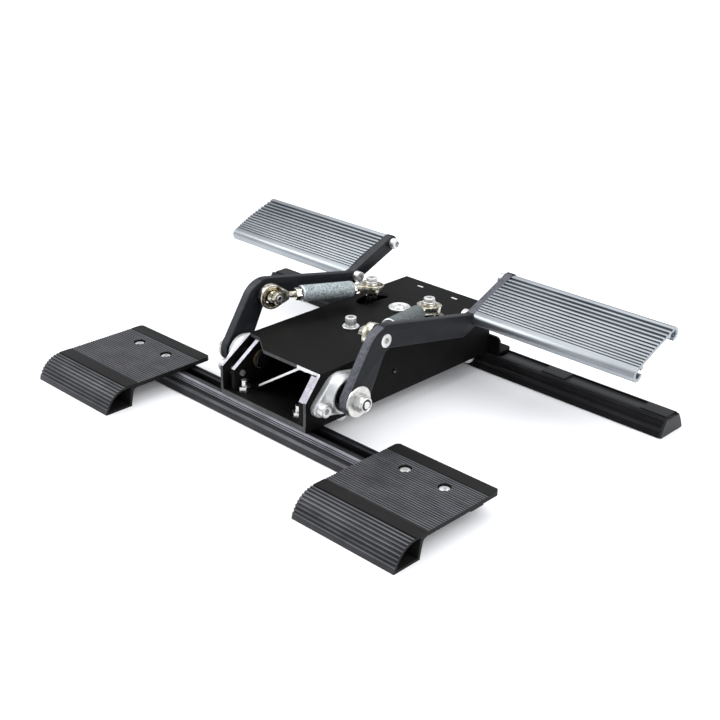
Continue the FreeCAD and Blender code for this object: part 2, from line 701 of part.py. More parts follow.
def base_plate():
    """Flat steel plate under the body, from the front rail to the rear rail."""
    corners = [(-WALL_OUTSIDE, BODY_FRONT_Y, 1.0), (WALL_OUTSIDE, BODY_FRONT_Y, 1.0),
               (WALL_OUTSIDE, COVER_REAR_Y, 1.0), (-WALL_OUTSIDE, COVER_REAR_Y, 1.0)]
    solid = along_z(corners, RAIL_HEIGHT, BASE_TOP)
    cuts = []
    for side in (-1, 1):
        cuts.append(rod_z(M6_RADIUS + HOLE_CLEARANCE, side * FRAME_BOLT_X, FRONT_RAIL_Y, 0, BODY_HEIGHT))
        for y in (FRONT_BASE_SCREW_Y, REAR_BASE_SCREW_Y):
            cuts.append(rod_z(M5_RADIUS + HOLE_CLEARANCE, side * BASE_SCREW_X, y, 0, BODY_HEIGHT))
    return solid.cut(cuts)


def side_wall(setback, x0, x1):
    """Side of the cover: upright front edge, then a slanted edge up to the top."""
    corners = [(BODY_FRONT_Y, BASE_TOP, 0), (COVER_REAR_Y, BASE_TOP, 0), (COVER_REAR_Y, BODY_HEIGHT, 0),
               (BODY_FRONT_Y + setback, BODY_HEIGHT, 0), (BODY_FRONT_Y, MOUTH_POST_TOP, 2.0)]
    return along_x(corners, x0, x1)


def arc_slot(side, z0, z1):
    """Curved slot for one stud, about the rocker's axis."""
    inner = ROCKER_RADIUS - SLOT_HALF_WIDTH
    outer = ROCKER_RADIUS + SLOT_HALF_WIDTH
    middle = 0 if side > 0 else 180
    base = vec(0, ROCKER_Y, z0)
    sector = Part.makeCylinder(outer, z1 - z0, ORIGIN, Z_AXIS, 2 * ROCKER_TRAVEL)
    sector = sector.cut(Part.makeCylinder(inner, z1 - z0, ORIGIN, Z_AXIS, 360))
    sector.Placement = FreeCAD.Placement(base, FreeCAD.Rotation(Z_AXIS, middle - ROCKER_TRAVEL))
    ends = []
    for turn in (-ROCKER_TRAVEL, ROCKER_TRAVEL):
        angle = math.radians(middle + turn)
        ends.append(rod_z(SLOT_HALF_WIDTH, ROCKER_RADIUS * math.cos(angle),
                          ROCKER_Y + ROCKER_RADIUS * math.sin(angle), z0, z1))
    return sector.fuse(ends)


def flange_bolt_places():
    """Bolt places (y, z) of a side's flange bearing, front one first."""
    turn = math.radians(BEARING_TILT)
    dy = BEARING_BOLT_RADIUS * math.cos(turn)
    dz = BEARING_BOLT_RADIUS * math.sin(turn)
    return [(PIVOT_Y - dy, PIVOT_Z - dz), (PIVOT_Y + dy, PIVOT_Z + dz)]


def top_cover():
    """Folded cover: two sides, a top with two curved slots, a rear wall and two screw tabs."""
    left = side_wall(MOUTH_LEFT_SETBACK, -WALL_OUTSIDE, -WALL_INSIDE)
    right = side_wall(MOUTH_RIGHT_SETBACK, WALL_INSIDE, WALL_OUTSIDE)
    corners = [(-WALL_OUTSIDE, MOUTH_TOP_LEFT_Y, 0),
               (MOUTH_STEP_X - MOUTH_STEP_WIDTH, MOUTH_TOP_LEFT_Y, 4.0),
               (MOUTH_STEP_X, MOUTH_TOP_RIGHT_Y, 6.0), (WALL_OUTSIDE, MOUTH_TOP_RIGHT_Y, 0),
               (WALL_OUTSIDE, COVER_REAR_Y, 0), (-WALL_OUTSIDE, COVER_REAR_Y, 0)]
    top = along_z(corners, COVER_UNDER, BODY_HEIGHT)
    rear = box(-WALL_OUTSIDE, WALL_OUTSIDE, COVER_REAR_Y - SHEET, COVER_REAR_Y, BASE_TOP, BODY_HEIGHT)
    solid = top.fuse([left, right, rear])
    for side in (-1, 1):
        inner = side * (WALL_INSIDE - TAB_WIDTH)
        outer = side * WALL_INSIDE
        tab = box(min(inner, outer), max(inner, outer), REAR_BASE_SCREW_Y - TAB_LENGTH / 2,
                  REAR_BASE_SCREW_Y + TAB_LENGTH / 2, BASE_TOP, BASE_TOP + SHEET)
        solid = solid.fuse(tab)
    solid = solid.removeSplitter()
    bends = []
    for edge in solid.Edges:
        box_ = edge.BoundBox
        long = box_.YLength > 100 and box_.XLength < 0.1 and box_.ZLength < 0.1
        at_corner = abs(abs(box_.Center.x) - WALL_OUTSIDE) < 0.01
        if long and at_corner and abs(box_.Center.z - BODY_HEIGHT) < 0.01:
            bends.append(edge)
    solid = solid.makeFillet(COVER_BEND_RADIUS, bends)

    cuts = []
    hole = INSERT_RADIUS + WALL_HOLE_CLEARANCE
    for side in (-1, 1):
        inner = side * (WALL_INSIDE - OVERCUT)
        outer = side * (WALL_OUTSIDE + OVERCUT)
        cuts.append(rod_x(hole, inner, outer, PIVOT_Y, PIVOT_Z))
        for y, z in flange_bolt_places():
            cuts.append(rod_x(M6_RADIUS + HOLE_CLEARANCE, inner, outer, y, z))
        cuts.append(arc_slot(side, COVER_UNDER - OVERCUT, BODY_HEIGHT + OVERCUT))
        cuts.append(rod_z(M5_RADIUS + SNUG_FIT, side * BASE_SCREW_X, REAR_BASE_SCREW_Y,
                          BASE_TOP - OVERCUT, BASE_TOP + SHEET + OVERCUT))
        cuts.append(rod_y(M5_RADIUS + SNUG_FIT, side * REAR_SCREW_X, COVER_REAR_Y - SHEET - OVERCUT,
                          COVER_REAR_Y + OVERCUT, REAR_SCREW_Z))
    cuts.append(rod_x(ACCESS_HOLE_RADIUS, WALL_INSIDE - OVERCUT, WALL_OUTSIDE + OVERCUT, ANCHOR_Y,
                      ACCESS_HOLE_Z))
    for y in (ANCHOR_Y, ROCKER_Y):
        cuts.append(rod_z(M6_RADIUS + HOLE_CLEARANCE, 0, y, COVER_UNDER - OVERCUT,
                          BODY_HEIGHT + OVERCUT))
    return solid.cut(cuts)


def rear_bracket():
    """Folded bracket: its foot lies on the rear rail, its upright closes the body's rear."""
    half = BRACKET_HALF_LENGTH
    top = RAIL_HEIGHT + BRACKET_HEIGHT
    upright = along_y([(-half, RAIL_HEIGHT, 0), (half, RAIL_HEIGHT, 0), (half, top, BRACKET_CORNER),
                       (-half, top, BRACKET_CORNER)], BRACKET_FRONT_Y, BRACKET_FRONT_Y + BRACKET_SHEET)
    rear = BRACKET_FRONT_Y + BRACKET_DEPTH
    foot = along_z([(-half, BRACKET_FRONT_Y, 0), (half, BRACKET_FRONT_Y, 0),
                    (half, rear, BRACKET_CORNER), (-half, rear, BRACKET_CORNER)], RAIL_HEIGHT,
                   RAIL_HEIGHT + BRACKET_SHEET)
    solid = upright.fuse(foot).removeSplitter()
    cuts = []
    for side in (-1, 1):
        cuts.append(rod_z(M6_RADIUS + HOLE_CLEARANCE, side * FRAME_BOLT_X, REAR_RAIL_Y, 0, BODY_HEIGHT))
        cuts.append(rod_y(M5_RADIUS + HOLE_CLEARANCE, side * REAR_SCREW_X, BRACKET_FRONT_Y - OVERCUT,
                          BRACKET_FRONT_Y + BRACKET_SHEET + OVERCUT, REAR_SCREW_Z))
    return solid.cut(cuts)


def bearing_bracket(side, front_setback, slanted):
    """Upright plate inside one wall that holds the shaft's inner bushing, with a screwed foot."""
    front = BODY_FRONT_Y + front_setback
    rear = PIVOT_Y + INNER_PLATE_REAR
    top = COVER_UNDER
    if slanted:
        corners = [(front, BASE_TOP, 0), (rear, BASE_TOP, 0), (rear, top, 0),
                   (MOUTH_TOP_LEFT_Y + 1.0, top, 0), (front, MOUTH_POST_TOP - 1.6, 1.5)]
    else:
        corners = [(front, BASE_TOP, 0), (rear, BASE_TOP, 0), (rear, top, 0), (front, top, 3.0)]
    outer = INNER_PLATE_OUTSIDE
    solid = along_x(corners, outer - INNER_PLATE, outer)
    foot = box(outer, WALL_INSIDE - 0.2, FRONT_BASE_SCREW_Y - INNER_FOOT_LENGTH / 2,
               FRONT_BASE_SCREW_Y + INNER_FOOT_LENGTH / 2, BASE_TOP, BASE_TOP + SHEET)
    solid = solid.fuse(foot).removeSplitter()
    bore = SHAFT_RADIUS + BUSHING_WALL + SNUG_FIT
    solid = solid.cut([rod_x(bore, outer - INNER_PLATE - OVERCUT, outer + OVERCUT, PIVOT_Y, PIVOT_Z),
                       rod_z(M5_RADIUS + SNUG_FIT, BASE_SCREW_X, FRONT_BASE_SCREW_Y, 0, BODY_HEIGHT)])
    if side < 0:
        return mirrored(solid)
    return solid


def diagonal_brace():
    """Bent sheet that runs from the base plate up to the underside of the cover."""
    foot_top = BASE_TOP + BRACE_SHEET
    knee = BASE_TOP + BRACE_KNEE_RISE
    head = COVER_UNDER
    t = BRACE_SHEET
    flange = BRACE_FOOT_WIDTH
    corners = [(BRACE_FOOT_X - flange, BASE_TOP, 0), (BRACE_FOOT_X + t, BASE_TOP, 0),
               (BRACE_FOOT_X + t, knee - 0.5, 0), (BRACE_HEAD_X + t, head - t, 0),
               (BRACE_HEAD_X + flange, head - t, 0), (BRACE_HEAD_X + flange, head, 0),
               (BRACE_HEAD_X, head, 0), (BRACE_FOOT_X, knee + 0.5, 0), (BRACE_FOOT_X, foot_top, 0),
               (BRACE_FOOT_X - flange, foot_top, 0)]
    front = BODY_FRONT_Y + BRACE_FRONT_SETBACK
    return along_y(corners, front, front + BRACE_LENGTH)


def tee_bolt(x, y, top):
    """Bolt whose flat head sits in a rail's chamber and whose shank rises through the slot."""
    half = CHAMBER_WIDTH / 2 - TEE_SIDE_GAP
    head = box(x - TEE_HEAD_LENGTH / 2, x + TEE_HEAD_LENGTH / 2, y - half, y + half,
               CHAMBER_TOP - TEE_HEAD_HEIGHT, CHAMBER_TOP)
    return head.fuse(rod_z(M6_RADIUS, x, y, CHAMBER_TOP - OVERCUT, top)).removeSplitter()


def body_frame():
    export("base_plate", base_plate())
    export("top_cover", top_cover())
    export("rear_bracket", rear_bracket())
    brackets = [bearing_bracket(-1, INNER_PLATE_SETBACK, True),
                bearing_bracket(1, BRACE_FRONT_SETBACK, False)]
    export("bearing_brackets", group(brackets))
    export("diagonal_brace", diagonal_brace())

    bolts = []
    nuts = []
    screws = []
    for side in (-1, 1):
        x = side * FRAME_BOLT_X
        bolts += [tee_bolt(x, FRONT_RAIL_Y, FRONT_BOLT_TOP), tee_bolt(x, REAR_RAIL_Y, REAR_BOLT_TOP)]
        for y, z in ((FRONT_RAIL_Y, BASE_TOP), (REAR_RAIL_Y, RAIL_HEIGHT + BRACKET_SHEET)):
            frame_nut = nut(M6_FLATS, M6_NUT, M6_RADIUS + SNUG_FIT, vec(x, y, z), Z_AXIS)
            if y == REAR_RAIL_Y:
                frame_nut.rotate(vec(x, y, z), Z_AXIS, 90)
            nuts.append(frame_nut)
        for y, z in flange_bolt_places():
            nuts.append(nut(M6_FLATS, M6_NUT, M6_RADIUS + SNUG_FIT, vec(side * WALL_INSIDE, y, z),
                            vec(-side, 0, 0)))
        for y in (FRONT_BASE_SCREW_Y, REAR_BASE_SCREW_Y):
            screws.append(dome_screw(vec(side * BASE_SCREW_X, y, RAIL_HEIGHT), Z_AXIS, M5_RADIUS,
                                     BASE_SCREW_DEPTH, DOME_RADIUS, DOME_HEIGHT, LOW_SOCKET_FLATS))
        seat = vec(side * REAR_SCREW_X, BRACKET_FRONT_Y + BRACKET_SHEET, REAR_SCREW_Z)
        screws.append(dome_screw(seat, vec(0, -1, 0), M5_RADIUS, BASE_SCREW_DEPTH, DOME_RADIUS,
                                 DOME_HEIGHT, LOW_SOCKET_FLATS))
    export("tee_bolts", group(bolts))
    export("hex_nuts", group(nuts))
    export("base_screws", group(screws))


def bearing_housing():
    """Cast two-bolt flange bearing housing on the right wall."""
    spread = math.asin((BEARING_HUB_RADIUS - BEARING_EAR_RADIUS) / BEARING_BOLT_RADIUS)
    tip = BEARING_HUB_RADIUS / math.sin(spread)
    side = BEARING_HUB_RADIUS / math.cos(spread)
    corners = [(tip, 0, BEARING_EAR_RADIUS), (0, side, BEARING_HUB_RADIUS - 0.01),
               (-tip, 0, BEARING_EAR_RADIUS), (0, -side, BEARING_HUB_RADIUS - 0.01)]
    flange = along_x(corners, 0, BEARING_FLANGE)
    rim = [edge for edge in flange.Edges if abs(edge.BoundBox.XMin - BEARING_FLANGE) < 0.01]
    flange = flange.makeChamfer(1.0, rim)
    hub = turned([(0, 0), (0, BEARING_HUB_RADIUS - 0.6), (BEARING_FLANGE, BEARING_HUB_RADIUS - 0.6),
                  (BEARING_DEPTH - 1.0, BEARING_FACE_RADIUS), (BEARING_DEPTH, BEARING_FACE_RADIUS - 1.0),
                  (BEARING_DEPTH, 0)], ORIGIN, X_AXIS)
    solid = flange.fuse(hub)
    solid = solid.cut(rod_x(INSERT_RADIUS + SNUG_FIT, -OVERCUT, BEARING_DEPTH + OVERCUT, 0, 0))
    for way in (-1, 1):
        place = way * BEARING_BOLT_RADIUS
        solid = solid.cut(rod_x(M6_RADIUS + HOLE_CLEARANCE, -OVERCUT, BEARING_FLANGE + OVERCUT, place, 0))
    solid.rotate(ORIGIN, X_AXIS, BEARING_TILT)
    solid.translate(vec(WALL_OUTSIDE, PIVOT_Y, PIVOT_Z))
    return solid


def bearing_insert():
    """Bearing of the right pivot: outer ring, sealed face and a longer inner race."""
    start = 1.5
    end = start + INSERT_WIDTH
    bore = SHAFT_RADIUS + RUNNING_FIT
    seal = end - INSERT_SEAL_STEP
    race = INSERT_RACE_RADIUS
    rim = INSERT_RADIUS - 2.0
    profile = [(start, bore), (start, INSERT_RADIUS), (end, INSERT_RADIUS), (end, rim), (seal, rim),
               (seal, race), (INSERT_RACE_END, race), (INSERT_RACE_END, bore)]
    return turned(profile, vec(WALL_OUTSIDE, PIVOT_Y, PIVOT_Z), X_AXIS)


def shaft_bushing():
    """Flanged bushing of the right shaft in the inner bracket."""
    start = INNER_PLATE_OUTSIDE - INNER_PLATE
    bore = SHAFT_RADIUS + RUNNING_FIT
    outer = SHAFT_RADIUS + BUSHING_WALL
    profile = [(-BUSHING_FLANGE, bore), (-BUSHING_FLANGE, outer + 1.5), (0, outer + 1.5), (0, outer),
               (BUSHING_LENGTH - BUSHING_FLANGE, outer), (BUSHING_LENGTH - BUSHING_FLANGE, bore)]
    return turned(profile, vec(start, PIVOT_Y, PIVOT_Z), X_AXIS)


def flange_bolt(y, z):
    seat = WALL_OUTSIDE + BEARING_FLANGE
    grip = BEARING_FLANGE + SHEET + M6_NUT + 0.6
    return cap_screw(vec(seat, y, z), vec(-1, 0, 0), M6_RADIUS, grip, M6_HEAD_RADIUS, M6_HEAD,
                     M6_SOCKET_FLATS)


def bearings():
    housing = bearing_housing()
    export("bearing_housings", group([housing, mirrored(housing)]))
    insert = bearing_insert()
    export("bearing_inserts", group([insert, mirrored(insert)]))
    bushing = shaft_bushing()
    export("shaft_bushings", group([bushing, mirrored(bushing)]))
    bolts = []
    for y, z in flange_bolt_places():
        bolt = flange_bolt(y, z)
        bolts += [bolt, mirrored(bolt)]
    export("flange_bolts", group(bolts))


def upper_port():
    slope = math.radians(PAD_SLOPE)
    return (LOWER_PORT[0] + PORT_SPACING * math.cos(slope), LOWER_PORT[1] + PORT_SPACING * math.sin(slope))


def arm():
    """Right arm: a bell-crank plate from the pivot over the elbow to the pad's two screws."""
    leg = FreeCAD.Rotation(Z_AXIS, ARM_LEG_ANGLE) * X_AXIS
    tail = FreeCAD.Rotation(Z_AXIS, PAD_SLOPE) * X_AXIS
    port = upper_port()
    end = PAD_PORT_OUTER + PAD_ARM_MARGIN
    foot = round_end((0, 0), ARM_END_RADIUS, leg * -1, ARM_INNER_CORNER, ARM_OUTER_CORNER)
    tip = round_end((port[0] - PIVOT_Y, port[1] - PIVOT_Z), end, tail, ARM_TOP_KINK, ARM_BOTTOM_KINK)
    outline = foot + [ARM_OUTER_CORNER, ARM_TOP_KINK] + tip + [ARM_BOTTOM_KINK, ARM_INNER_CORNER]
    corners = [(PIVOT_Y + y, PIVOT_Z + z, radius) for y, z, radius in outline]
    solid = along_x(corners, ARM_INSIDE, ARM_OUTSIDE)
    rims = [edge for edge in solid.Edges if edge.BoundBox.XLength < 0.01]
    solid = solid.makeChamfer(ARM_EDGE_BREAK, rims)
    cuts = [rod_x(SHAFT_RADIUS + SNUG_FIT, ARM_INSIDE - OVERCUT, ARM_OUTSIDE + OVERCUT, PIVOT_Y, PIVOT_Z),
            rod_x(M6_RADIUS + HOLE_CLEARANCE, ARM_INSIDE - OVERCUT, ARM_OUTSIDE + OVERCUT, *ELBOW),
            rod_x(M6_HEAD_RADIUS + 0.1, ARM_OUTSIDE - M6_HEAD * 0.75, ARM_OUTSIDE + OVERCUT, *ELBOW)]
    for y, z in (LOWER_PORT, upper_port()):
        cuts.append(rod_x(M6_RADIUS + HOLE_CLEARANCE, ARM_INSIDE - OVERCUT, ARM_OUTSIDE + OVERCUT, y, z))
    return solid.cut(cuts)


def pad():
    """Right pad: ribbed extrusion with a rounded lip and an open screw port at each edge."""
    outer = PAD_PORT_OUTER
    inner = PAD_PORT_INNER
    length = PORT_SPACING
    web_low = outer - PAD_WEB
    first = PAD_RIB_MARGIN
    pitch = (length + 1.0 - first) / PAD_RIB_COUNT
    corners = [(0, web_low), (0, outer)]
    for index in range(PAD_RIB_COUNT):
        s = first + index * pitch
        corners += [(s, outer), (s + 0.3, outer - PAD_RIB_DEPTH),
                    (s + PAD_RIB_GROOVE - 0.3, outer - PAD_RIB_DEPTH), (s + PAD_RIB_GROOVE, outer)]
    corners += [(length, outer), (length, web_low)]
    web = along_x([(s, n, 0) for s, n in corners if s <= length], 0, PAD_LENGTH)

    def jaw(s):
        return box(0, PAD_LENGTH, s, s + PAD_JAW_WIDTH, web_low - PAD_JAW_DROP, web_low + 0.5)

    # Angles count from the web's inward direction for each port.
    lip = port_sector(outer, inner, 0, 90, 330)
    curl = port_sector(outer, inner, length, -120, 90)
    solid = web.fuse([lip, curl, jaw(PAD_JAW_REACH - PAD_JAW_WIDTH),
                      jaw(length - PAD_JAW_REACH)]).removeSplitter()
    solid.rotate(ORIGIN, X_AXIS, PAD_SLOPE)
    solid.translate(vec(ARM_OUTSIDE, LOWER_PORT[0], LOWER_PORT[1]))
    return solid


def port_sector(outer, inner, middle, start, end):
    """C-shaped port about (middle, 0) from a start to an end angle, along the pad."""
    def at(radius, angle):
        turn = math.radians(angle)
        return vec(0, middle + radius * math.cos(turn), radius * math.sin(turn))

    half = (start + end) / 2
    edges = [Part.Arc(at(outer, start), at(outer, half), at(outer, end)).toShape(),
             Part.makeLine(at(outer, end), at(inner, end)),
             Part.Arc(at(inner, end), at(inner, half), at(inner, start)).toShape(),
             Part.makeLine(at(inner, start), at(outer, start))]
    return Part.Face(Part.Wire(edges)).extrude(vec(PAD_LENGTH, 0, 0))


def pad_screws():
    screws = []
    for y, z in (LOWER_PORT, upper_port()):
        screws.append(cap_screw(vec(ARM_INSIDE, y, z), X_AXIS, M6_RADIUS, ARM_THICKNESS + PAD_SCREW_DEPTH,
                                M6_HEAD_RADIUS, M6_HEAD, M6_SOCKET_FLATS))
    return group(screws)


def pivot_shaft():
    """Right pivot shaft: inner head, bearing length, collar against the arm and a threaded end."""
    bushing_end = INNER_PLATE_OUTSIDE - INNER_PLATE - BUSHING_FLANGE
    head_end = bushing_end - THRUST_GAP
    profile = [(head_end - SHAFT_HEAD, 0), (head_end - SHAFT_HEAD, SHAFT_HEAD_RADIUS),
               (head_end, SHAFT_HEAD_RADIUS), (head_end, SHAFT_RADIUS),
               (ARM_INSIDE - SHAFT_COLLAR, SHAFT_RADIUS), (ARM_INSIDE - SHAFT_COLLAR, SHAFT_COLLAR_RADIUS),
               (ARM_INSIDE, SHAFT_COLLAR_RADIUS), (ARM_INSIDE, SHAFT_RADIUS),
               (ARM_OUTSIDE, SHAFT_RADIUS), (ARM_OUTSIDE, PIVOT_THREAD_RADIUS),
               (ARM_OUTSIDE + PIVOT_THREAD_LENGTH - 0.8, PIVOT_THREAD_RADIUS),
               (ARM_OUTSIDE + PIVOT_THREAD_LENGTH, PIVOT_THREAD_RADIUS - 0.8),
               (ARM_OUTSIDE + PIVOT_THREAD_LENGTH, 0)]
    return turned(profile, vec(0, PIVOT_Y, PIVOT_Z), X_AXIS)


def pivot_washer():
    hole = PIVOT_THREAD_RADIUS + HOLE_CLEARANCE
    profile = [(0, hole), (0, PIVOT_WASHER_RADIUS), (PIVOT_WASHER - 0.5, PIVOT_WASHER_RADIUS),
               (PIVOT_WASHER, PIVOT_WASHER_RADIUS - 0.5), (PIVOT_WASHER, hole)]
    return turned(profile, vec(ARM_OUTSIDE, PIVOT_Y, PIVOT_Z), X_AXIS)


def lock_nuts():
    """Pivot nut on the outside, with its nylon collar, and the flanged elbow nut on the inside."""
    base = vec(ARM_OUTSIDE + PIVOT_WASHER, PIVOT_Y, PIVOT_Z)
    hex_height = PIVOT_NUT - 2.2
    bore = PIVOT_THREAD_RADIUS + SNUG_FIT
    pivot_nut = nut(PIVOT_NUT_FLATS, hex_height, bore, base, X_AXIS)
    collar = turned([(hex_height, bore), (hex_height, PIVOT_NUT_FLATS / 2 - 0.3),
                     (PIVOT_NUT - 0.6, PIVOT_NUT_FLATS / 2 - 0.3), (PIVOT_NUT, PIVOT_NUT_FLATS / 2 - 1.0),
                     (PIVOT_NUT, bore)], base, X_AXIS)
    pivot_nut = pivot_nut.fuse(collar).removeSplitter()
    elbow_base = vec(ELBOW_EYE_X - BALL_HALF_WIDTH, *ELBOW)
    elbow_nut = nut(M6_FLATS, M6_NUT + 0.4, M6_RADIUS + SNUG_FIT, elbow_base, vec(-1, 0, 0), 5.5)
    return group([pivot_nut, elbow_nut])


def elbow_bolt():
    seat = ARM_OUTSIDE - M6_HEAD * 0.75
    end = ELBOW_EYE_X - BALL_HALF_WIDTH - M6_NUT - 1.8
    return cap_screw(vec(seat, *ELBOW), vec(-1, 0, 0), M6_RADIUS, seat - end, M6_HEAD_RADIUS,
                     M6_HEAD * 0.8, M6_SOCKET_FLATS)


def bored_ball(centre, axis, bore, sleeve_radius=0.0, sleeve_end=0.0):
    """Rod end's ball, cut flat on both sides and bored, with a sleeve along the axis if asked."""
    half = BALL_HALF_WIDTH
    flat = math.sqrt(BALL_RADIUS ** 2 - half ** 2)
    top = vec(flat, 0, half)
    corners = [top]
    if sleeve_end > half:
        corners += [vec(sleeve_radius, 0, half), vec(sleeve_radius, 0, sleeve_end)]
    corners += [vec(bore, 0, max(half, sleeve_end)), vec(bore, 0, -half), vec(flat, 0, -half)]
    edges = [Part.makeLine(start, end) for start, end in zip(corners, corners[1:])]
    edges.append(Part.Arc(vec(flat, 0, -half), vec(BALL_RADIUS, 0, 0), top).toShape())
    solid = Part.Face(Part.Wire(edges)).revolve(ORIGIN, Z_AXIS, 360)
    solid.Placement = FreeCAD.Placement(centre, FreeCAD.Rotation(Z_AXIS, axis))
    return solid


def elbow_ball():
    """Ball of the elbow's rod end, with the sleeve that stands it off the arm."""
    return bored_ball(ELBOW_BALL, X_AXIS, M6_RADIUS + SNUG_FIT, SLEEVE_RADIUS, ARM_INSIDE - ELBOW_EYE_X)


def arms():
    pieces = {"arm": arm(), "pad": pad(), "pad_screws": pad_screws(), "pivot_shaft": pivot_shaft(),
              "pivot_washer": pivot_washer(), "lock_nuts": lock_nuts(), "elbow_bolt": elbow_bolt(),
              "elbow_ball": elbow_ball()}
    for name, shape in pieces.items():
        export("right_" + name, shape)
        export("left_" + name, mirrored(shape))


def rod_frame():
    """Direction of the right tie rod from stud to elbow, its level side way and its eye's axis."""
    elbow_eye = ELBOW_BALL + vec(*OPEN_EYE_SHIFT)
    way = elbow_eye - STUD
    length = way.Length
    way.normalize()
    side = Z_AXIS.cross(way)
    side.normalize()
    lift = way.cross(side)
    lift.normalize()
    return way, side, lift, length, elbow_eye


def rod_end(centre, bore_axis, outward, neck_end, open_seat):
    """Rod end: a teardrop eye whose rim runs by two tangents to the neck, and a threaded shank."""
    half = EYE_WIDTH / 2
    reach = math.hypot(neck_end, ROD_THROAT_RADIUS)
    turn = math.atan2(ROD_THROAT_RADIUS, neck_end) + math.acos(EYE_RADIUS / reach)
    touch = vec(EYE_RADIUS * math.cos(turn), EYE_RADIUS * math.sin(turn), -half)
    tip = vec(neck_end, ROD_THROAT_RADIUS, -half)
    touch_low, tip_low = vec(touch.x, -touch.y, -half), vec(tip.x, -tip.y, -half)
    outline = [Part.makeLine(tip, touch), Part.Arc(touch, vec(-EYE_RADIUS, 0, -half), touch_low).toShape(),
               Part.makeLine(touch_low, tip_low), Part.makeLine(tip_low, tip)]
    eye = Part.Face(Part.Wire(outline)).extrude(vec(0, 0, EYE_WIDTH))
    rims = [edge for edge in eye.Edges if edge.BoundBox.ZLength < 0.01 and edge.BoundBox.XLength > 0.01]
    eye = eye.makeChamfer(EYE_BREAK, rims)
    shank = rod(ROD_SHANK_RADIUS, vec(EYE_RADIUS, 0, 0), vec(ROD_SHANK_LENGTH, 0, 0))
    if open_seat:
        seat = rod_z(BALL_RADIUS + OPEN_EYE_CLEARANCE, 0, 0, -EYE_WIDTH, EYE_WIDTH)
    else:
        seat = Part.makeSphere(BALL_RADIUS + EYE_FIT)
    solid = eye.fuse(shank).removeSplitter().cut(seat)
    turned_to = FreeCAD.Rotation(outward, bore_axis.cross(outward), bore_axis, "XZY")
    solid.Placement = FreeCAD.Placement(centre, turned_to)
    return solid


def tie_rods():
    """Right tie rod and its mirror: rod ends, knurled barrel and lock nuts."""
    way, side, lift, length, elbow_eye = rod_frame()
    back = way * -1
    jam_start = BARREL_FROM_STUD - JAM_NUT_LENGTH - LOCKNUT_GAP
    ends = group([rod_end(elbow_eye, side, back, ROD_NECK_END, True),
                  rod_end(STUD, lift, way, jam_start - LOCKNUT_GAP, False)])
    start = STUD + way * BARREL_FROM_STUD
    barrel_length = length - BARREL_FROM_STUD - BARREL_FROM_ELBOW
    thread = ROD_SHANK_RADIUS + SNUG_FIT
    profile = [(0, thread), (0, BARREL_RADIUS - 0.8), (0.8, BARREL_RADIUS),
               (barrel_length - 1.6, BARREL_RADIUS), (barrel_length, BARREL_RADIUS - 1.2),
               (barrel_length, thread)]
    barrel = turned(profile, start, way)
    near = nut(M6_FLATS, LOCKNUT_LENGTH, thread, elbow_eye + back * (BARREL_FROM_ELBOW - LOCKNUT_GAP),
               way)
    jam = nut(M6_FLATS, JAM_NUT_LENGTH, thread, STUD + way * jam_start, way)
    nuts = group([near, jam])
    for name, shape in (("rod_ends", ends), ("rod_barrel", barrel), ("rod_locknuts", nuts)):
        export("right_" + name, shape)
        export("left_" + name, mirrored(shape))


def stud_ball():
    """Ball of the stud's rod end: it turns on the stud's screw."""
    return bored_ball(STUD, Z_AXIS, M6_RADIUS + RUNNING_FIT)


def rocker_plate():
    """Rocker: a bar to both studs, a lobe with the spring's pin and a long hub."""
    reach = ROCKER_RADIUS + ROCKER_END_RADIUS
    r = ROCKER_END_RADIUS
    bar = along_z([(-reach, ROCKER_Y - r, r - 0.01), (reach, ROCKER_Y - r, r - 0.01),
                   (reach, ROCKER_Y + r, r - 0.01), (-reach, ROCKER_Y + r, r - 0.01)],
                  ROCKER_BOTTOM, ROCKER_TOP)
    front = ROCKER_Y - SPRING_PIN_REACH - ROCKER_TIP_MARGIN
    tail = ROCKER_Y + ROCKER_LOBE_HALF
    lobe = along_z([(-ROCKER_LOBE_HALF, ROCKER_Y, 0), (-ROCKER_TIP_HALF, front, ROCKER_TIP_MARGIN),
                    (ROCKER_TIP_HALF, front, ROCKER_TIP_MARGIN), (ROCKER_LOBE_HALF, ROCKER_Y, 0),
                    (ROCKER_TAIL_HALF, tail, ROCKER_TAIL_CORNER),
                    (-ROCKER_TAIL_HALF, tail, ROCKER_TAIL_CORNER)], ROCKER_BOTTOM, ROCKER_TOP)
    hub = rod_z(ROCKER_HUB_RADIUS, 0, ROCKER_Y, ROCKER_BOTTOM - ROCKER_HUB_LENGTH, ROCKER_TOP)
    pin_y = ROCKER_Y - SPRING_PIN_REACH
    pin = rod_z(SPRING_PIN_RADIUS, 0, pin_y, ROCKER_BOTTOM - SPRING_PIN_LENGTH, ROCKER_TOP)
    solid = bar.fuse([lobe, hub, pin]).removeSplitter()
    bore = ROCKER_SHAFT_RADIUS + BUSHING_WALL + SNUG_FIT
    cuts = [rod_z(bore, 0, ROCKER_Y, 0, BODY_HEIGHT)]
    for side in (-1, 1):
        cuts.append(rod_z(M6_RADIUS + SNUG_FIT, side * ROCKER_RADIUS, ROCKER_Y, 0, BODY_HEIGHT))
    return solid.cut(cuts)


def rocker_bushing(z0):
    profile = [(0, ROCKER_SHAFT_RADIUS + RUNNING_FIT), (0, ROCKER_SHAFT_RADIUS + BUSHING_WALL),
               (ROCKER_BUSHING_LENGTH, ROCKER_SHAFT_RADIUS + BUSHING_WALL),
               (ROCKER_BUSHING_LENGTH, ROCKER_SHAFT_RADIUS + RUNNING_FIT)]
    return turned(profile, vec(0, ROCKER_Y, z0), Z_AXIS)


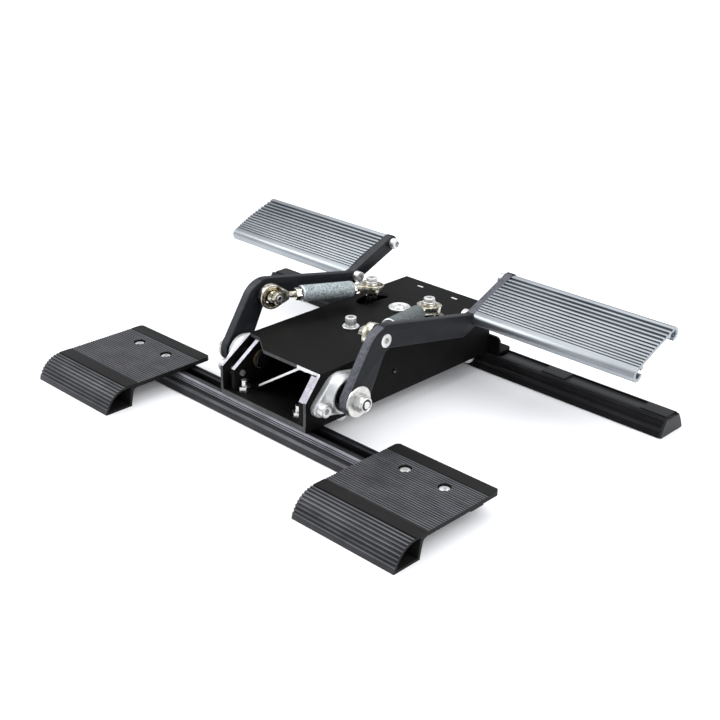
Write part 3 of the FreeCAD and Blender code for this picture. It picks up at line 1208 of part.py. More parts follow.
def stud_parts():
    """Spacer, coned washer and screw of the right stud."""
    ball_low = STUD.z - BALL_HALF_WIDTH
    ball_top = STUD.z + BALL_HALF_WIDTH
    hole = M6_RADIUS + SNUG_FIT
    spacer_top = ball_low - BALL_AXIAL_GAP - ROCKER_TOP
    spacer = turned([(0, hole), (0, STUD_SPACER_RADIUS), (spacer_top - 2.0, STUD_SPACER_RADIUS),
                     (spacer_top, STUD_BOSS_RADIUS), (spacer_top, hole)], vec(STUD.x, STUD.y, ROCKER_TOP),
                    Z_AXIS)
    seat = ball_top + BALL_AXIAL_GAP
    top = STUD_WASHER_RISE + STUD_WASHER_RIM
    washer = turned([(0, hole), (0, STUD_BOSS_RADIUS), (STUD_WASHER_RISE, STUD_WASHER_RADIUS),
                     (top, STUD_WASHER_RADIUS), (top, hole)], vec(STUD.x, STUD.y, seat), Z_AXIS)
    head_seat = vec(STUD.x, STUD.y, seat + top)
    screw = cap_screw(head_seat, vec(0, 0, -1), M6_RADIUS, head_seat.z - ROCKER_BOTTOM,
                      M6_HEAD_RADIUS, M6_HEAD, M6_SOCKET_FLATS)
    return spacer, washer, screw


def magnet_holder():
    """Clamp ring on the rocker's hub, with an arm that carries the magnet over the sensor."""
    top = MAGNET_Z + MAGNET_RING_WIDTH
    ring = rod_z(MAGNET_RING_RADIUS, 0, ROCKER_Y, MAGNET_Z, top)
    tip = ROCKER_Y + MAGNET_REACH
    beam = along_z([(-5, ROCKER_Y + ROCKER_HUB_RADIUS, 0), (5, ROCKER_Y + ROCKER_HUB_RADIUS, 0),
                    (5, tip + 5, 4.9), (-5, tip + 5, 4.9)], MAGNET_Z, top)
    magnet = rod_z(MAGNET_RADIUS, 0, tip, MAGNET_Z - MAGNET_THICKNESS, MAGNET_Z + OVERCUT)
    solid = ring.fuse([beam, magnet]).removeSplitter()
    return solid.cut(rod_z(ROCKER_HUB_RADIUS + SNUG_FIT, 0, ROCKER_Y, 0, BODY_HEIGHT))


def rocker():
    export("rocker_plate", rocker_plate())
    low = ROCKER_BOTTOM - ROCKER_HUB_LENGTH
    bushings = [rocker_bushing(low), rocker_bushing(ROCKER_TOP - ROCKER_BUSHING_LENGTH)]
    export("rocker_bushings", group(bushings))
    spacer, washer, screw = stud_parts()
    export("stud_spacers", group([spacer, mirrored(spacer)]))
    export("stud_washers", group([washer, mirrored(washer)]))
    export("stud_screws", group([screw, mirrored(screw)]))
    export("magnet_holder", magnet_holder())
    ball = stud_ball()
    export("right_stud_ball", ball)
    export("left_stud_ball", mirrored(ball))


def rocker_shaft():
    """Fixed upright shaft of the rocker, bored at the top for the cap's screw."""
    collar_top = ROCKER_BOTTOM - ROCKER_HUB_LENGTH - THRUST_GAP - BASE_TOP
    height = COVER_UNDER - BASE_TOP
    bore = M6_RADIUS + SNUG_FIT
    profile = [(0, 0), (0, ROCKER_COLLAR_RADIUS), (collar_top, ROCKER_COLLAR_RADIUS),
               (collar_top, ROCKER_SHAFT_RADIUS), (height, ROCKER_SHAFT_RADIUS), (height, bore),
               (height - TOP_SCREW_DEPTH, bore), (height - TOP_SCREW_DEPTH, 0)]
    return turned(profile, vec(0, ROCKER_Y, BASE_TOP), Z_AXIS)


def anchor_post():
    """Post that anchors the centring spring in its neck, crossed by the tension screw."""
    height = COVER_UNDER - BASE_TOP
    bore = M6_RADIUS + SNUG_FIT
    neck_low = SPRING_Z - ANCHOR_NECK_LENGTH / 2 - BASE_TOP
    neck_top = neck_low + ANCHOR_NECK_LENGTH
    deep = height - (COVER_UNDER - SPRING_Z - ANCHOR_NECK_LENGTH / 2) + 1.0
    profile = [(0, 0), (0, ANCHOR_RADIUS), (neck_low, ANCHOR_RADIUS), (neck_low, ANCHOR_NECK_RADIUS),
               (neck_top, ANCHOR_NECK_RADIUS), (neck_top, ANCHOR_RADIUS), (height, ANCHOR_RADIUS),
               (height, bore), (deep, bore), (deep, 0)]
    solid = turned(profile, vec(0, ANCHOR_Y, BASE_TOP), Z_AXIS)
    return solid.cut(rod_x(M5_RADIUS + SNUG_FIT, -ANCHOR_RADIUS - OVERCUT, ANCHOR_RADIUS + OVERCUT,
                           ANCHOR_Y, ACCESS_HOLE_Z))


def centring_spring():
    """Extension spring from the anchor post to the rocker's pin: coil body and two eyes."""
    post_side = ANCHOR_Y
    pin_side = ROCKER_Y - SPRING_PIN_REACH
    middle = (post_side + pin_side) / 2
    start = middle - SPRING_COIL_LENGTH / 2
    end = middle + SPRING_COIL_LENGTH / 2
    wire = SPRING_WIRE_RADIUS
    body = rod_y(SPRING_COIL_RADIUS, 0, start, end, SPRING_Z)
    post_loop = ANCHOR_NECK_RADIUS + wire + SPRING_NECK_GAP
    pin_loop = SPRING_PIN_RADIUS + wire + SPRING_PIN_GAP
    low = SPRING_Z - wire
    top = SPRING_Z + wire
    solid = body
    for y, loop, tip in ((post_side, post_loop, start), (pin_side, pin_loop, end)):
        ring = rod_z(loop + wire, 0, y, low, top)
        link = box(-wire, wire, min(y, tip), max(y, tip), low, top)
        solid = solid.fuse([ring, link]).cut(rod_z(loop - wire, 0, y, low, top))
    return solid.removeSplitter()


def sensor_board():
    """Sensor board under the magnet, on four posts from the base plate."""
    middle = ROCKER_Y + MAGNET_REACH
    half_x = BOARD_LENGTH / 2
    half_y = BOARD_WIDTH / 2
    centre = middle + BOARD_OFFSET
    top = BOARD_Z + BOARD_THICKNESS
    board = box(-half_x, half_x, centre - half_y, centre + half_y, BOARD_Z, top)
    chip = box(-CHIP_SIDE / 2, CHIP_SIDE / 2, middle - CHIP_SIDE / 2, middle + CHIP_SIDE / 2, top,
               top + CHIP_THICKNESS)
    posts = []
    for side in (-1, 1):
        for way in (-1, 1):
            posts.append(rod_z(STANDOFF_RADIUS, side * (half_x - STANDOFF_INSET),
                               centre + way * (half_y - STANDOFF_INSET), BASE_TOP, BOARD_Z + 0.5))
    return board.fuse([chip] + posts).removeSplitter()


def inner_works():
    export("rocker_shaft", rocker_shaft())
    export("anchor_post", anchor_post())
    cross = cap_screw(vec(ANCHOR_RADIUS + 0.2, ANCHOR_Y, ACCESS_HOLE_Z), vec(-1, 0, 0), M5_RADIUS,
                      2 * ANCHOR_RADIUS + 1.0, 4.0, 4.0, LOW_SOCKET_FLATS)
    export("tension_screw", cross)
    export("centring_spring", centring_spring())
    export("sensor_board", sensor_board())

    seat = BODY_HEIGHT + TOP_WASHER
    post_screw = cap_screw(vec(0, ANCHOR_Y, seat + POST_SCREW_NECK), vec(0, 0, -1),
                           POST_SCREW_NECK_RADIUS, POST_SCREW_NECK, M6_HEAD_RADIUS, M6_HEAD,
                           M6_SOCKET_FLATS)
    post_screw = post_screw.fuse(rod_z(M6_RADIUS, 0, ANCHOR_Y, seat - TOP_SCREW_DEPTH * 0.7, seat))
    cap_seat = BODY_HEIGHT + CAP_WASHER - CAP_RECESS
    cap = dome_screw(vec(0, ROCKER_Y, cap_seat), vec(0, 0, -1), M6_RADIUS, TOP_SCREW_DEPTH,
                     M6_HEAD_RADIUS, DOME_HEIGHT * 0.8, LOW_SOCKET_FLATS)
    export("top_screws", group([post_screw.removeSplitter(), cap]))

    hole = M6_RADIUS + HOLE_CLEARANCE
    flat = turned([(0, hole), (0, TOP_WASHER_RADIUS), (TOP_WASHER, TOP_WASHER_RADIUS),
                   (TOP_WASHER, hole)], vec(0, ANCHOR_Y, BODY_HEIGHT), Z_AXIS)
    depth = CAP_WASHER - CAP_RECESS
    dished = turned([(0, hole), (0, CAP_WASHER_RADIUS), (CAP_WASHER - 0.6, CAP_WASHER_RADIUS),
                     (CAP_WASHER, CAP_WASHER_RADIUS - 0.6), (CAP_WASHER, CAP_RECESS_RADIUS + 1.0),
                     (depth, CAP_RECESS_RADIUS), (depth, hole)], vec(0, ROCKER_Y, BODY_HEIGHT), Z_AXIS)
    export("top_washers", group([flat, dished]))


rails()
heel_rests()
body_frame()
bearings()
arms()
tie_rods()
rocker()
inner_works()
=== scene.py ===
"""Looks of a set of linked rudder pedals: finishes, fine metalwork, floor, light and camera."""

import json
import logging
import math
from contextlib import contextmanager
from dataclasses import dataclass, field, replace
from enum import Enum
from typing import Iterable, Iterator, Sequence

import bmesh
import bpy
import numpy as np
from mathutils import Matrix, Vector
from mathutils.geometry import tessellate_polygon


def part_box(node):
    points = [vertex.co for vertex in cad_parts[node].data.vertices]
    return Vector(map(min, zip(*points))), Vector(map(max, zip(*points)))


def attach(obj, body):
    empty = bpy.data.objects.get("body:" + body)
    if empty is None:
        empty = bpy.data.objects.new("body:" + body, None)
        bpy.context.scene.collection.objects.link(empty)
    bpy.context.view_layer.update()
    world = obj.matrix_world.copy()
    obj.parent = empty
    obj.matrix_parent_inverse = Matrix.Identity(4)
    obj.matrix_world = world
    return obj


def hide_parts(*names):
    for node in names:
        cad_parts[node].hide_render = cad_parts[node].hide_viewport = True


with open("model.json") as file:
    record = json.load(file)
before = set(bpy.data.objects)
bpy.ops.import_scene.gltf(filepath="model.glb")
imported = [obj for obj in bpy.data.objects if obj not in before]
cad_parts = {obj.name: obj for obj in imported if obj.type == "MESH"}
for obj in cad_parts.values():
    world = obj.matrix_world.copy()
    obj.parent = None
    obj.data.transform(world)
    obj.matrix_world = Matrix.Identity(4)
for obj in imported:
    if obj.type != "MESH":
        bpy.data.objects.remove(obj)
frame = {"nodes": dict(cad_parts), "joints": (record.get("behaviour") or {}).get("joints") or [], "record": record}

LOG = logging.getLogger("pedals")
MM = 0.001
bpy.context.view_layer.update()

Color = tuple[float, float, float]
Point = tuple[float, float, float]


class Side(Enum):
    """The two mirrored halves of the pedals."""

    RIGHT = 1
    LEFT = -1

    @property
    def word(self) -> str:
        """Name of the side as the CAD nodes spell it."""
        return self.name.lower()


class Axis(Enum):
    """The three axes of the row, as unit vectors."""

    X = (1.0, 0.0, 0.0)
    Y = (0.0, 1.0, 0.0)
    Z = (0.0, 0.0, 1.0)

    @property
    def vector(self) -> np.ndarray:
        """The axis as an array."""
        return np.array(self.value)


OUT, IN = Axis.X.value, (-1.0, 0.0, 0.0)
UP, DOWN = Axis.Z.value, (0.0, 0.0, -1.0)


# Shapes


@dataclass
class Shape:
    """Vertices in metres, faces as tuples of their numbers, and each face's finish number."""

    verts: np.ndarray
    faces: list[tuple[int, ...]]
    marks: list[int] = field(default_factory=list)

    def __post_init__(self) -> None:
        """Gives every unmarked face the first finish."""
        if not self.marks:
            self.marks = [0] * len(self.faces)

    def marked(self, number: int) -> "Shape":
        """The same shape with all its faces in one finish.

        Args:
            number: place of the finish in the piece's list.

        Returns:
            A new shape.
        """
        return Shape(self.verts, self.faces, [number] * len(self.faces))

    def mirrored(self) -> "Shape":
        """The same shape on the other side of the plane x = 0, faces outwards again."""
        flipped = [tuple(reversed(face)) for face in self.faces]
        return Shape(self.verts * np.array([-1.0, 1.0, 1.0]), flipped, list(self.marks))

    def on(self, side: Side) -> "Shape":
        """The shape as built for the right side, or its mirror image for the left side."""
        return self if side is Side.RIGHT else self.mirrored()


def merged(shapes: Iterable[Shape]) -> Shape:
    """Several shapes as one, in order.

    Args:
        shapes: the shapes to put together.

    Returns:
        One shape that holds them all.
    """
    verts: list[np.ndarray] = []
    faces: list[tuple[int, ...]] = []
    marks: list[int] = []
    start = 0
    for shape in shapes:
        verts.append(shape.verts)
        faces += [tuple(int(v) + start for v in face) for face in shape.faces]
        marks += shape.marks
        start += len(shape.verts)
    return Shape(np.concatenate(verts), faces, marks)


def quads(rows: int, columns: int) -> np.ndarray:
    """Quads of a grid whose columns close on themselves.

    Quad (i, j) joins points (i, j), (i, j+1), (i+1, j+1) and (i+1, j), with j+1 taken round.

    Args:
        rows: number of rings.
        columns: number of points round each ring.

    Returns:
        Array of four point numbers for each quad.
    """
    i = np.arange(rows - 1)[:, None] * columns
    j = np.arange(columns)[None, :]
    ahead = (j + 1) % columns
    corners = [i + j, i + ahead, i + columns + ahead, i + columns + j]
    return np.stack(corners, axis=-1).reshape(-1, 4)


def square_to(axis: np.ndarray) -> np.ndarray:
    """Three unit rows u, v, w with w along an axis and u level wherever it can be.

    Args:
        axis: direction of w.

    Returns:
        A 3 by 3 array.
    """
    w = np.asarray(axis, float)
    w = w / np.linalg.norm(w)
    helper = Axis.Z.vector if abs(w[2]) < 0.9 else Axis.X.vector
    u = np.cross(helper, w)
    u /= np.linalg.norm(u)
    return np.stack([u, np.cross(w, u), w])


@dataclass(frozen=True)
class Row:
    """One ring of a turned shape: height, radius, and its flats if it is hexagonal."""

    height: float
    radius: float
    flats: float = 0.0


WIDE = 1000.0  # radius of a ring that its flats cut all round, in millimetres


def rings(rows: Iterable[Sequence[float]]) -> list[Row]:
    """Rings of a turned shape from numbers in millimetres.

    Args:
        rows: (height, radius) or (height, radius, flats) of each ring.

    Returns:
        The same rings in metres.
    """
    return [Row(*(float(number) * MM for number in row)) for row in rows]


def turned(rows: Sequence[Row], base: Sequence[float], axis: Sequence[float], segments: int = 48,
           ripple: float = 0.0, teeth: int = 0) -> Shape:
    """Surface turned about an axis.

    P(i, t) = base + h_i w + r_i(t) (cos t u + sin t v). A round row has r(t) = r. A hexagonal
    one has r(t) = min(r, flats / 2 / cos(t mod 60 - 30)). A toothed surface adds
    ripple * cos(teeth * t) to the radius.

    Args:
        rows: rings from the bottom to the top, in metres.
        base: point on the axis at height 0.
        axis: direction of the axis.
        segments: points round each ring.
        ripple: depth of the teeth.
        teeth: number of teeth round the ring.

    Returns:
        The turned shape.
    """
    u, v, w = square_to(np.asarray(axis))
    t = np.arange(segments) * (2 * np.pi / segments)
    height = np.array([row.height for row in rows])
    radius = np.array([row.radius for row in rows])[:, None] * np.ones(segments)
    flats = np.array([row.flats if row.flats else 1e3 for row in rows])[:, None]
    sector = np.mod(t, math.pi / 3) - math.pi / 6
    radius = np.minimum(radius, flats / 2 / np.cos(sector)[None, :])
    radius = radius + ripple * np.cos(teeth * t)[None, :] * (radius > 1e-6)
    ring = np.cos(t)[:, None] * u + np.sin(t)[:, None] * v
    points = np.asarray(base) + height[:, None, None] * w + radius[..., None] * ring[None]
    faces = quads(len(rows), segments)
    return Shape(points.reshape(-1, 3), [tuple(face) for face in faces.tolist()])


def rounded(corners: Sequence[tuple[float, float, float]], step: float = 9.0) -> np.ndarray:
    """Closed outline through corners (a, b, radius), each rounded by an arc of its radius.

    On the arc, p(t) = c + r (cos t, sin t), with c on the corner's bisector at r / sin(half angle).

    Args:
        corners: corners in order, in metres.
        step: largest turn between two points, in degrees.

    Returns:
        Array of outline points.
    """
    points: list[np.ndarray] = []
    flat = np.array([corner[:2] for corner in corners])
    for index, (_, _, radius) in enumerate(corners):
        here = flat[index]
        if radius <= 0:
            points.append(here[None])
            continue
        back = flat[index - 1] - here
        ahead = flat[(index + 1) % len(flat)] - here
        back /= np.linalg.norm(back)
        ahead /= np.linalg.norm(ahead)
        half = math.acos(float(np.clip(back @ ahead, -1, 1))) / 2
        bisector = (back + ahead) / np.linalg.norm(back + ahead)
        centre = here + bisector * (radius / math.sin(half))
        start = here + back * (radius / math.tan(half)) - centre
        end = here + ahead * (radius / math.tan(half)) - centre
        first = math.atan2(start[1], start[0])
        sweep = (math.atan2(end[1], end[0]) - first + math.pi) % (2 * math.pi) - math.pi
        count = max(2, int(math.ceil(abs(math.degrees(sweep)) / step)) + 1)
        t = first + np.linspace(0, sweep, count)
        points.append(centre + radius * np.stack([np.cos(t), np.sin(t)], axis=1))
    return np.concatenate(points)


def arc(centre: Sequence[float], radius: float, start: float, end: float,
        step: float = 9.0) -> np.ndarray:
    """Points c + r (cos t, sin t) with t from start to end.

    Args:
        centre: middle of the arc.
        radius: its radius.
        start: first angle in degrees.
        end: last angle in degrees.
        step: largest turn between two points, in degrees.

    Returns:
        Array of points.
    """
    count = max(2, int(math.ceil(abs(end - start) / step)) + 1)
    t = np.radians(np.linspace(start, end, count))
    return np.array(centre) + radius * np.stack([np.cos(t), np.sin(t)], axis=1)


def circle(centre: Sequence[float], radius: float, count: int = 40) -> np.ndarray:
    """Clockwise ring of points for a hole: c + r (cos t, -sin t)."""
    t = np.arange(count) * (2 * np.pi / count)
    return np.array(centre) + radius * np.stack([np.cos(t), -np.sin(t)], axis=1)


def outward(loop: np.ndarray) -> np.ndarray:
    """Mitred normals of a closed loop, to the right of its direction of travel.

    With n1 and n2 the normals of the two edges at a point, n = (n1 + n2) / (1 + n1 . n2).

    Args:
        loop: points of the loop.

    Returns:
        One normal for each point.
    """
    ahead = np.roll(loop, -1, axis=0) - loop
    ahead /= np.maximum(np.linalg.norm(ahead, axis=1, keepdims=True), 1e-12)
    normal = np.stack([ahead[:, 1], -ahead[:, 0]], axis=1)
    before = np.roll(normal, 1, axis=0)
    share = 1 + np.sum(normal * before, axis=1, keepdims=True)
    return (normal + before) / np.maximum(share, 0.35)


def plate(outline: np.ndarray, holes: Sequence[np.ndarray], origin: Sequence[float], axes: np.ndarray,
          depth: float, ease: float, steps: int = 3, tones: np.ndarray | None = None) -> Shape:
    """Outline carried straight along w, with both of its rims rounded.

    Ring a of a rim is P = o + (p - n e (1 - sin a)) . (u, v) + w e (1 - cos a), a from 0 to 90
    degrees, and the far rim is the same from the other end.

    Args:
        outline: outer loop, anticlockwise seen against w.
        holes: inner loops, clockwise.
        origin: point that the loops are measured from.
        axes: rows u, v and w.
        depth: length along w.
        ease: radius of the rims.
        steps: faces across a rim.
        tones: finish number of each edge of the outer loop.

    Returns:
        The closed plate.
    """
    u, v, w = axes
    a = np.linspace(0, math.pi / 2, steps + 1)
    inset = np.concatenate([ease * (1 - np.sin(a)), ease * (1 - np.sin(a[::-1]))])
    along = np.concatenate([ease * (1 - np.cos(a)), depth - ease * (1 - np.cos(a[::-1]))])
    verts: list[np.ndarray] = []
    faces: list[tuple[int, ...]] = []
    marks: list[int] = []
    first: list[np.ndarray] = []
    last: list[np.ndarray] = []
    numbers: list[np.ndarray] = []
    start = 0
    for place, loop in enumerate([outline, *holes]):
        kept = np.linalg.norm(loop - np.roll(loop, 1, axis=0), axis=1) > 1e-7
        tone = tones[kept] if tones is not None and place == 0 else np.zeros(int(kept.sum()), int)
        loop = loop[kept]
        normal = outward(loop)
        flat = loop[None] - normal[None] * inset[:, None, None]
        points = np.asarray(origin) + flat[..., :1] * u + flat[..., 1:] * v + along[:, None, None] * w
        faces += [tuple(face) for face in (quads(len(along), len(loop)) + start).tolist()]
        marks += np.tile(tone, len(along) - 1).tolist()
        verts.append(points.reshape(-1, 3))
        first.append(flat[0])
        last.append(flat[-1])
        numbers.append(start + np.arange(len(loop)))
        start += points.shape[0] * points.shape[1]
    number = np.concatenate(numbers)
    jump = np.concatenate([np.full(len(loop), (len(along) - 1) * len(loop)) for loop in first])
    for loops, shift in ((first, 0), (last, jump)):
        flat_loops = [[(x, y, 0.0) for x, y in loop.tolist()] for loop in loops]
        triangles = np.array(tessellate_polygon(flat_loops))
        faces += [tuple(face) for face in (number + shift)[triangles].tolist()]
        marks += [0] * len(triangles)
    return Shape(np.concatenate(verts), faces, [int(mark) for mark in marks])


ALONG_X = np.array([Axis.Y.value, Axis.Z.value, Axis.X.value])
ALONG_Z = np.array([Axis.X.value, Axis.Y.value, Axis.Z.value])


# Finishes


@dataclass(frozen=True)
class Node:
    """One shader node: its type, its attributes, and its inputs' values by name or number."""

    kind: str
    settings: dict[str, object] = field(default_factory=dict)
    values: dict[str | int, object] = field(default_factory=dict)


def socket_key(text: str) -> str | int:
    """Key of a socket in a link: a number where the text is one, else the name."""
    return int(text) if text.isdigit() else text


def wire(tree: bpy.types.NodeTree, nodes: dict[str, Node], links: Sequence[str]) -> None:
    """Adds nodes to a tree and links them.

    Attributes are set before values and links, because they decide which sockets are in use.

    Args:
        tree: the tree.
        nodes: the new nodes by name.
        links: each as "node.output > node.input", a socket going by its name or number.
    """
    for name, node in nodes.items():
        made = tree.nodes.new(node.kind)
        made.name = name
        for attribute, value in node.settings.items():
            setattr(made, attribute, value)
        for socket, value in node.values.items():
            made.inputs[socket].default_value = value
    for link in links:
        (start, output), (end, entry) = (spot.split(".") for spot in link.split(" > "))
        tree.links.new(tree.nodes[start].outputs[socket_key(output)],
                       tree.nodes[end].inputs[socket_key(entry)])


@dataclass(frozen=True)
class Effect:
    """A shader node group that several finishes share."""

    name: str
    inputs: dict[str, float | tuple[float, ...]]
    outputs: dict[str, str]
    nodes: dict[str, Node]
    links: tuple[str, ...]

    def tree(self) -> bpy.types.NodeTree:
        """The group, built on first use; a tuple of four is a colour and one of three a vector.

        Returns:
            The node tree with its sockets.
        """
        found = bpy.data.node_groups.get(self.name)
        if found is not None:
            return found
        tree = bpy.data.node_groups.new(self.name, "ShaderNodeTree")
        for socket, value in self.inputs.items():
            size = len(value) if isinstance(value, tuple) else 1
            kind = {1: "NodeSocketFloat", 3: "NodeSocketVector", 4: "NodeSocketColor"}[size]
            made = tree.interface.new_socket(socket, in_out="INPUT", socket_type=kind)
            made.default_value = value
        for socket, kind in self.outputs.items():
            tree.interface.new_socket(socket, in_out="OUTPUT", socket_type=kind)
        wire(tree, {"in": Node("NodeGroupInput"), "out": Node("NodeGroupOutput"), **self.nodes}, self.links)
        return tree


# Fine even grain: colour and roughness drift with a noise, and the height follows it.
GRAIN = Effect(
    "grain",
    {"Vector": (0.0, 0.0, 0.0), "Stretch": (1.0, 1.0, 1.0), "Scale": 900.0, "Patch Scale": 40.0,
     "Dark": (0.02, 0.02, 0.02, 1.0), "Light": (0.04, 0.04, 0.04, 1.0), "Smoothest": 0.35, "Roughest": 0.5},
    {"Color": "NodeSocketColor", "Roughness": "NodeSocketFloat", "Height": "NodeSocketFloat"},
    {"stretch": Node("ShaderNodeVectorMath", {"operation": "MULTIPLY"}),
     "fine": Node("ShaderNodeTexNoise", values={"Detail": 3.0}),
     "patch": Node("ShaderNodeTexNoise", values={"Detail": 4.0}),
     "half": Node("ShaderNodeMath", {"operation": "MULTIPLY"}, {1: 0.45}),
     "blend": Node("ShaderNodeMath", {"operation": "MULTIPLY_ADD"}, {1: 0.55}),
     "spread": Node("ShaderNodeMapRange", values={"From Min": 0.38, "From Max": 0.62}),
     "color": Node("ShaderNodeMix", {"data_type": "RGBA"}),
     "rough": Node("ShaderNodeMapRange", values={"From Min": 0.3, "From Max": 0.7})},
    ("in.Vector > stretch.0", "in.Stretch > stretch.1", "stretch.0 > fine.Vector", "in.Scale > fine.Scale",
     "in.Vector > patch.Vector", "in.Patch Scale > patch.Scale", "patch.Fac > half.0",
     "fine.Fac > blend.0", "half.0 > blend.2", "blend.0 > spread.Value", "spread.Result > color.Factor",
     "in.Dark > color.A", "in.Light > color.B", "blend.0 > rough.Value", "in.Smoothest > rough.To Min",
     "in.Roughest > rough.To Max", "color.Result > out.Color", "rough.Result > out.Roughness",
     "fine.Fac > out.Height"))

# Rubbed spots: where a coarse noise is high, the base colour gives way to the bare one.
SCUFFS = Effect(
    "scuffs",
    {"Vector": (0.0, 0.0, 0.0), "Base": (0.02, 0.02, 0.02, 1.0), "Bare": (0.4, 0.4, 0.4, 1.0),
     "Scale": 180.0, "Amount": 0.3},
    {"Color": "NodeSocketColor"},
    {"coarse": Node("ShaderNodeTexNoise", values={"Detail": 6.0, "Roughness": 0.7}),
     "edge": Node("ShaderNodeMapRange", values={"From Min": 0.52, "From Max": 0.66}),
     "amount": Node("ShaderNodeMath", {"operation": "MULTIPLY"}),
     "color": Node("ShaderNodeMix", {"data_type": "RGBA"})},
    ("in.Vector > coarse.Vector", "in.Scale > coarse.Scale", "coarse.Fac > edge.Value",
     "edge.Result > amount.0", "in.Amount > amount.1", "amount.0 > color.Factor", "in.Base > color.A",
     "in.Bare > color.B", "color.Result > out.Color"))


@dataclass(frozen=True)
class Finish:
    """A surface finish: its two tones, gloss range, grain and how far spots are rubbed."""

    name: str
    dark: Color
    light: Color
    metallic: float = 0.0
    smoothest: float = 0.35
    roughest: float = 0.5
    scale: float = 900.0
    patch: float = 40.0
    stretch: Color = (1.0, 1.0, 1.0)
    bump: float = 0.1
    relief: float = 0.00003
    scuff: float = 0.0
    bare: Color = (0.4, 0.4, 0.4)
    gloss: float = 0.5

    def material(self) -> bpy.types.Material:
        """The finish as a Blender material, made on first use.

        Returns:
            The material with its node tree.
        """
        found = bpy.data.materials.get(self.name)
        if found is not None:
            return found
        made = bpy.data.materials.new(self.name)
        made.use_nodes = True
        shader = made.node_tree.nodes["Principled BSDF"]
        shader.name = "shader"
        shader.inputs["Metallic"].default_value = self.metallic
        shader.inputs["Specular IOR Level"].default_value = self.gloss
        grain = {"Stretch": self.stretch, "Scale": self.scale, "Patch Scale": self.patch,
                 "Dark": (*self.dark, 1.0), "Light": (*self.light, 1.0),
                 "Smoothest": self.smoothest, "Roughest": self.roughest}
        nodes = {"place": Node("ShaderNodeTexCoord"),
                 "grain": Node("ShaderNodeGroup", {"node_tree": GRAIN.tree()}, grain),
                 "bump": Node("ShaderNodeBump", values={"Strength": self.bump, "Distance": self.relief})}
        links = ["place.Object > grain.Vector", "grain.Height > bump.Height",
                 "bump.Normal > shader.Normal", "grain.Roughness > shader.Roughness"]
        if self.scuff:
            rub = {"Bare": (*self.bare, 1.0), "Amount": self.scuff}
            nodes["rub"] = Node("ShaderNodeGroup", {"node_tree": SCUFFS.tree()}, rub)
            links += ["place.Object > rub.Vector", "grain.Color > rub.Base",
                      "rub.Color > shader.Base Color"]
        else:
            links.append("grain.Color > shader.Base Color")
        wire(made.node_tree, nodes, links)
        return made


POWDER_COAT = Finish("powder_coat", (0.0028, 0.0028, 0.003), (0.007, 0.0067, 0.0063), 0.0, 0.44,
                     0.56, 1400.0, 60.0, bump=0.25, gloss=0.055)
# Painted light on the slanted front edges of the cover, the bearing brackets and the wall liner, which face up and
# forward; rubbed lighter in spots.
MOUTH_EDGE_LIGHT = Finish("mouth_edge", (0.3, 0.29, 0.33), (0.52, 0.51, 0.56), 0.35, 0.35, 0.5, 900.0,
                    90.0, scuff=0.5, bare=(0.72, 0.72, 0.74))
# Painted light on faces that look forward, at the front of the base plate and of the cover's posts; rubbed lighter
# in spots.
POST_EDGE_LIGHT = Finish("post_edge", (0.03, 0.03, 0.032), (0.06, 0.06, 0.064), 0.0, 0.4, 0.52, 1200.0,
                   90.0, scuff=0.2, bare=(0.16, 0.16, 0.17), gloss=0.3)
# Painted highlight along the front edges of the cover's top and of the diagonal brace.
EDGE_HIGHLIGHT = Finish("bright_edge", (0.7, 0.7, 0.7), (0.88, 0.88, 0.87), 0.3, 0.3, 0.45, 900.0,
                     160.0, gloss=0.6)
RAIL_ANODISE = Finish("rail_anodise", (0.01, 0.01, 0.012), (0.02, 0.02, 0.023), 0.25, 0.32, 0.44,
                      700.0, 30.0, (0.04, 1.0, 1.0), 0.12, gloss=0.3)
# Painted highlight lines along the front rail's ridges.
RAIL_HIGHLIGHT_LINE = Finish("rail_line", (0.17, 0.17, 0.19), (0.3, 0.3, 0.33), 0.5, 0.3, 0.42, 700.0, 60.0,
                   (0.04, 1.0, 1.0), 0.12, gloss=0.5)
# Painted light on a band of the front rail's flank.
RAIL_LIGHT_BAND = Finish("rail_band", (0.095, 0.095, 0.104), (0.16, 0.16, 0.173), 0.4, 0.32, 0.44, 700.0,
                   60.0, (0.04, 1.0, 1.0), 0.12, gloss=0.4)
# Painted shade: a darker copy of the rail's anodising, for the rear rail.
RAIL_PAINTED_SHADE = Finish("rail_shade", (0.005, 0.005, 0.005), (0.01, 0.01, 0.01), 0.2, 0.36, 0.48, 700.0,
                    30.0, (0.04, 1.0, 1.0), 0.12, gloss=0.16)
HEEL_ANODISE = Finish("heel_anodise", (0.0065, 0.0065, 0.0062), (0.012, 0.012, 0.0115), 0.1, 0.42,
                      0.54, 700.0, 30.0, (0.05, 1.0, 1.0), 0.15, gloss=0.11)
# Painted highlight on the crests of the heel rests' ribs.
HEEL_CREST_HIGHLIGHT = Finish("heel_crest", (0.064, 0.065, 0.073), (0.12, 0.122, 0.135), 0.4, 0.34, 0.46,
                    700.0, 60.0, (0.05, 1.0, 1.0), 0.15, gloss=0.5)
# Painted middle light between the heel rests' ribs and on their lips, and low on the front rail's flank.
HEEL_MID_LIGHT = Finish("heel_lip", (0.018, 0.018, 0.0195), (0.038, 0.038, 0.041), 0.2, 0.38, 0.5, 700.0,
                  60.0, (0.05, 1.0, 1.0), 0.15, gloss=0.3)
ARM_COAT = Finish("arm_coat", (0.0075, 0.0082, 0.01), (0.014, 0.0148, 0.0175), 0.1, 0.38, 0.5,
                  1200.0, 45.0, bump=0.2, gloss=0.17)
# Painted light on the arms' front edges, which face forward, with a coarse grain.
ARM_EDGE_LIGHT = Finish("arm_edge", (0.04, 0.042, 0.053), (0.115, 0.118, 0.14), 0.2, 0.36, 0.5, 900.0,
                  300.0, bump=0.3, gloss=0.4)
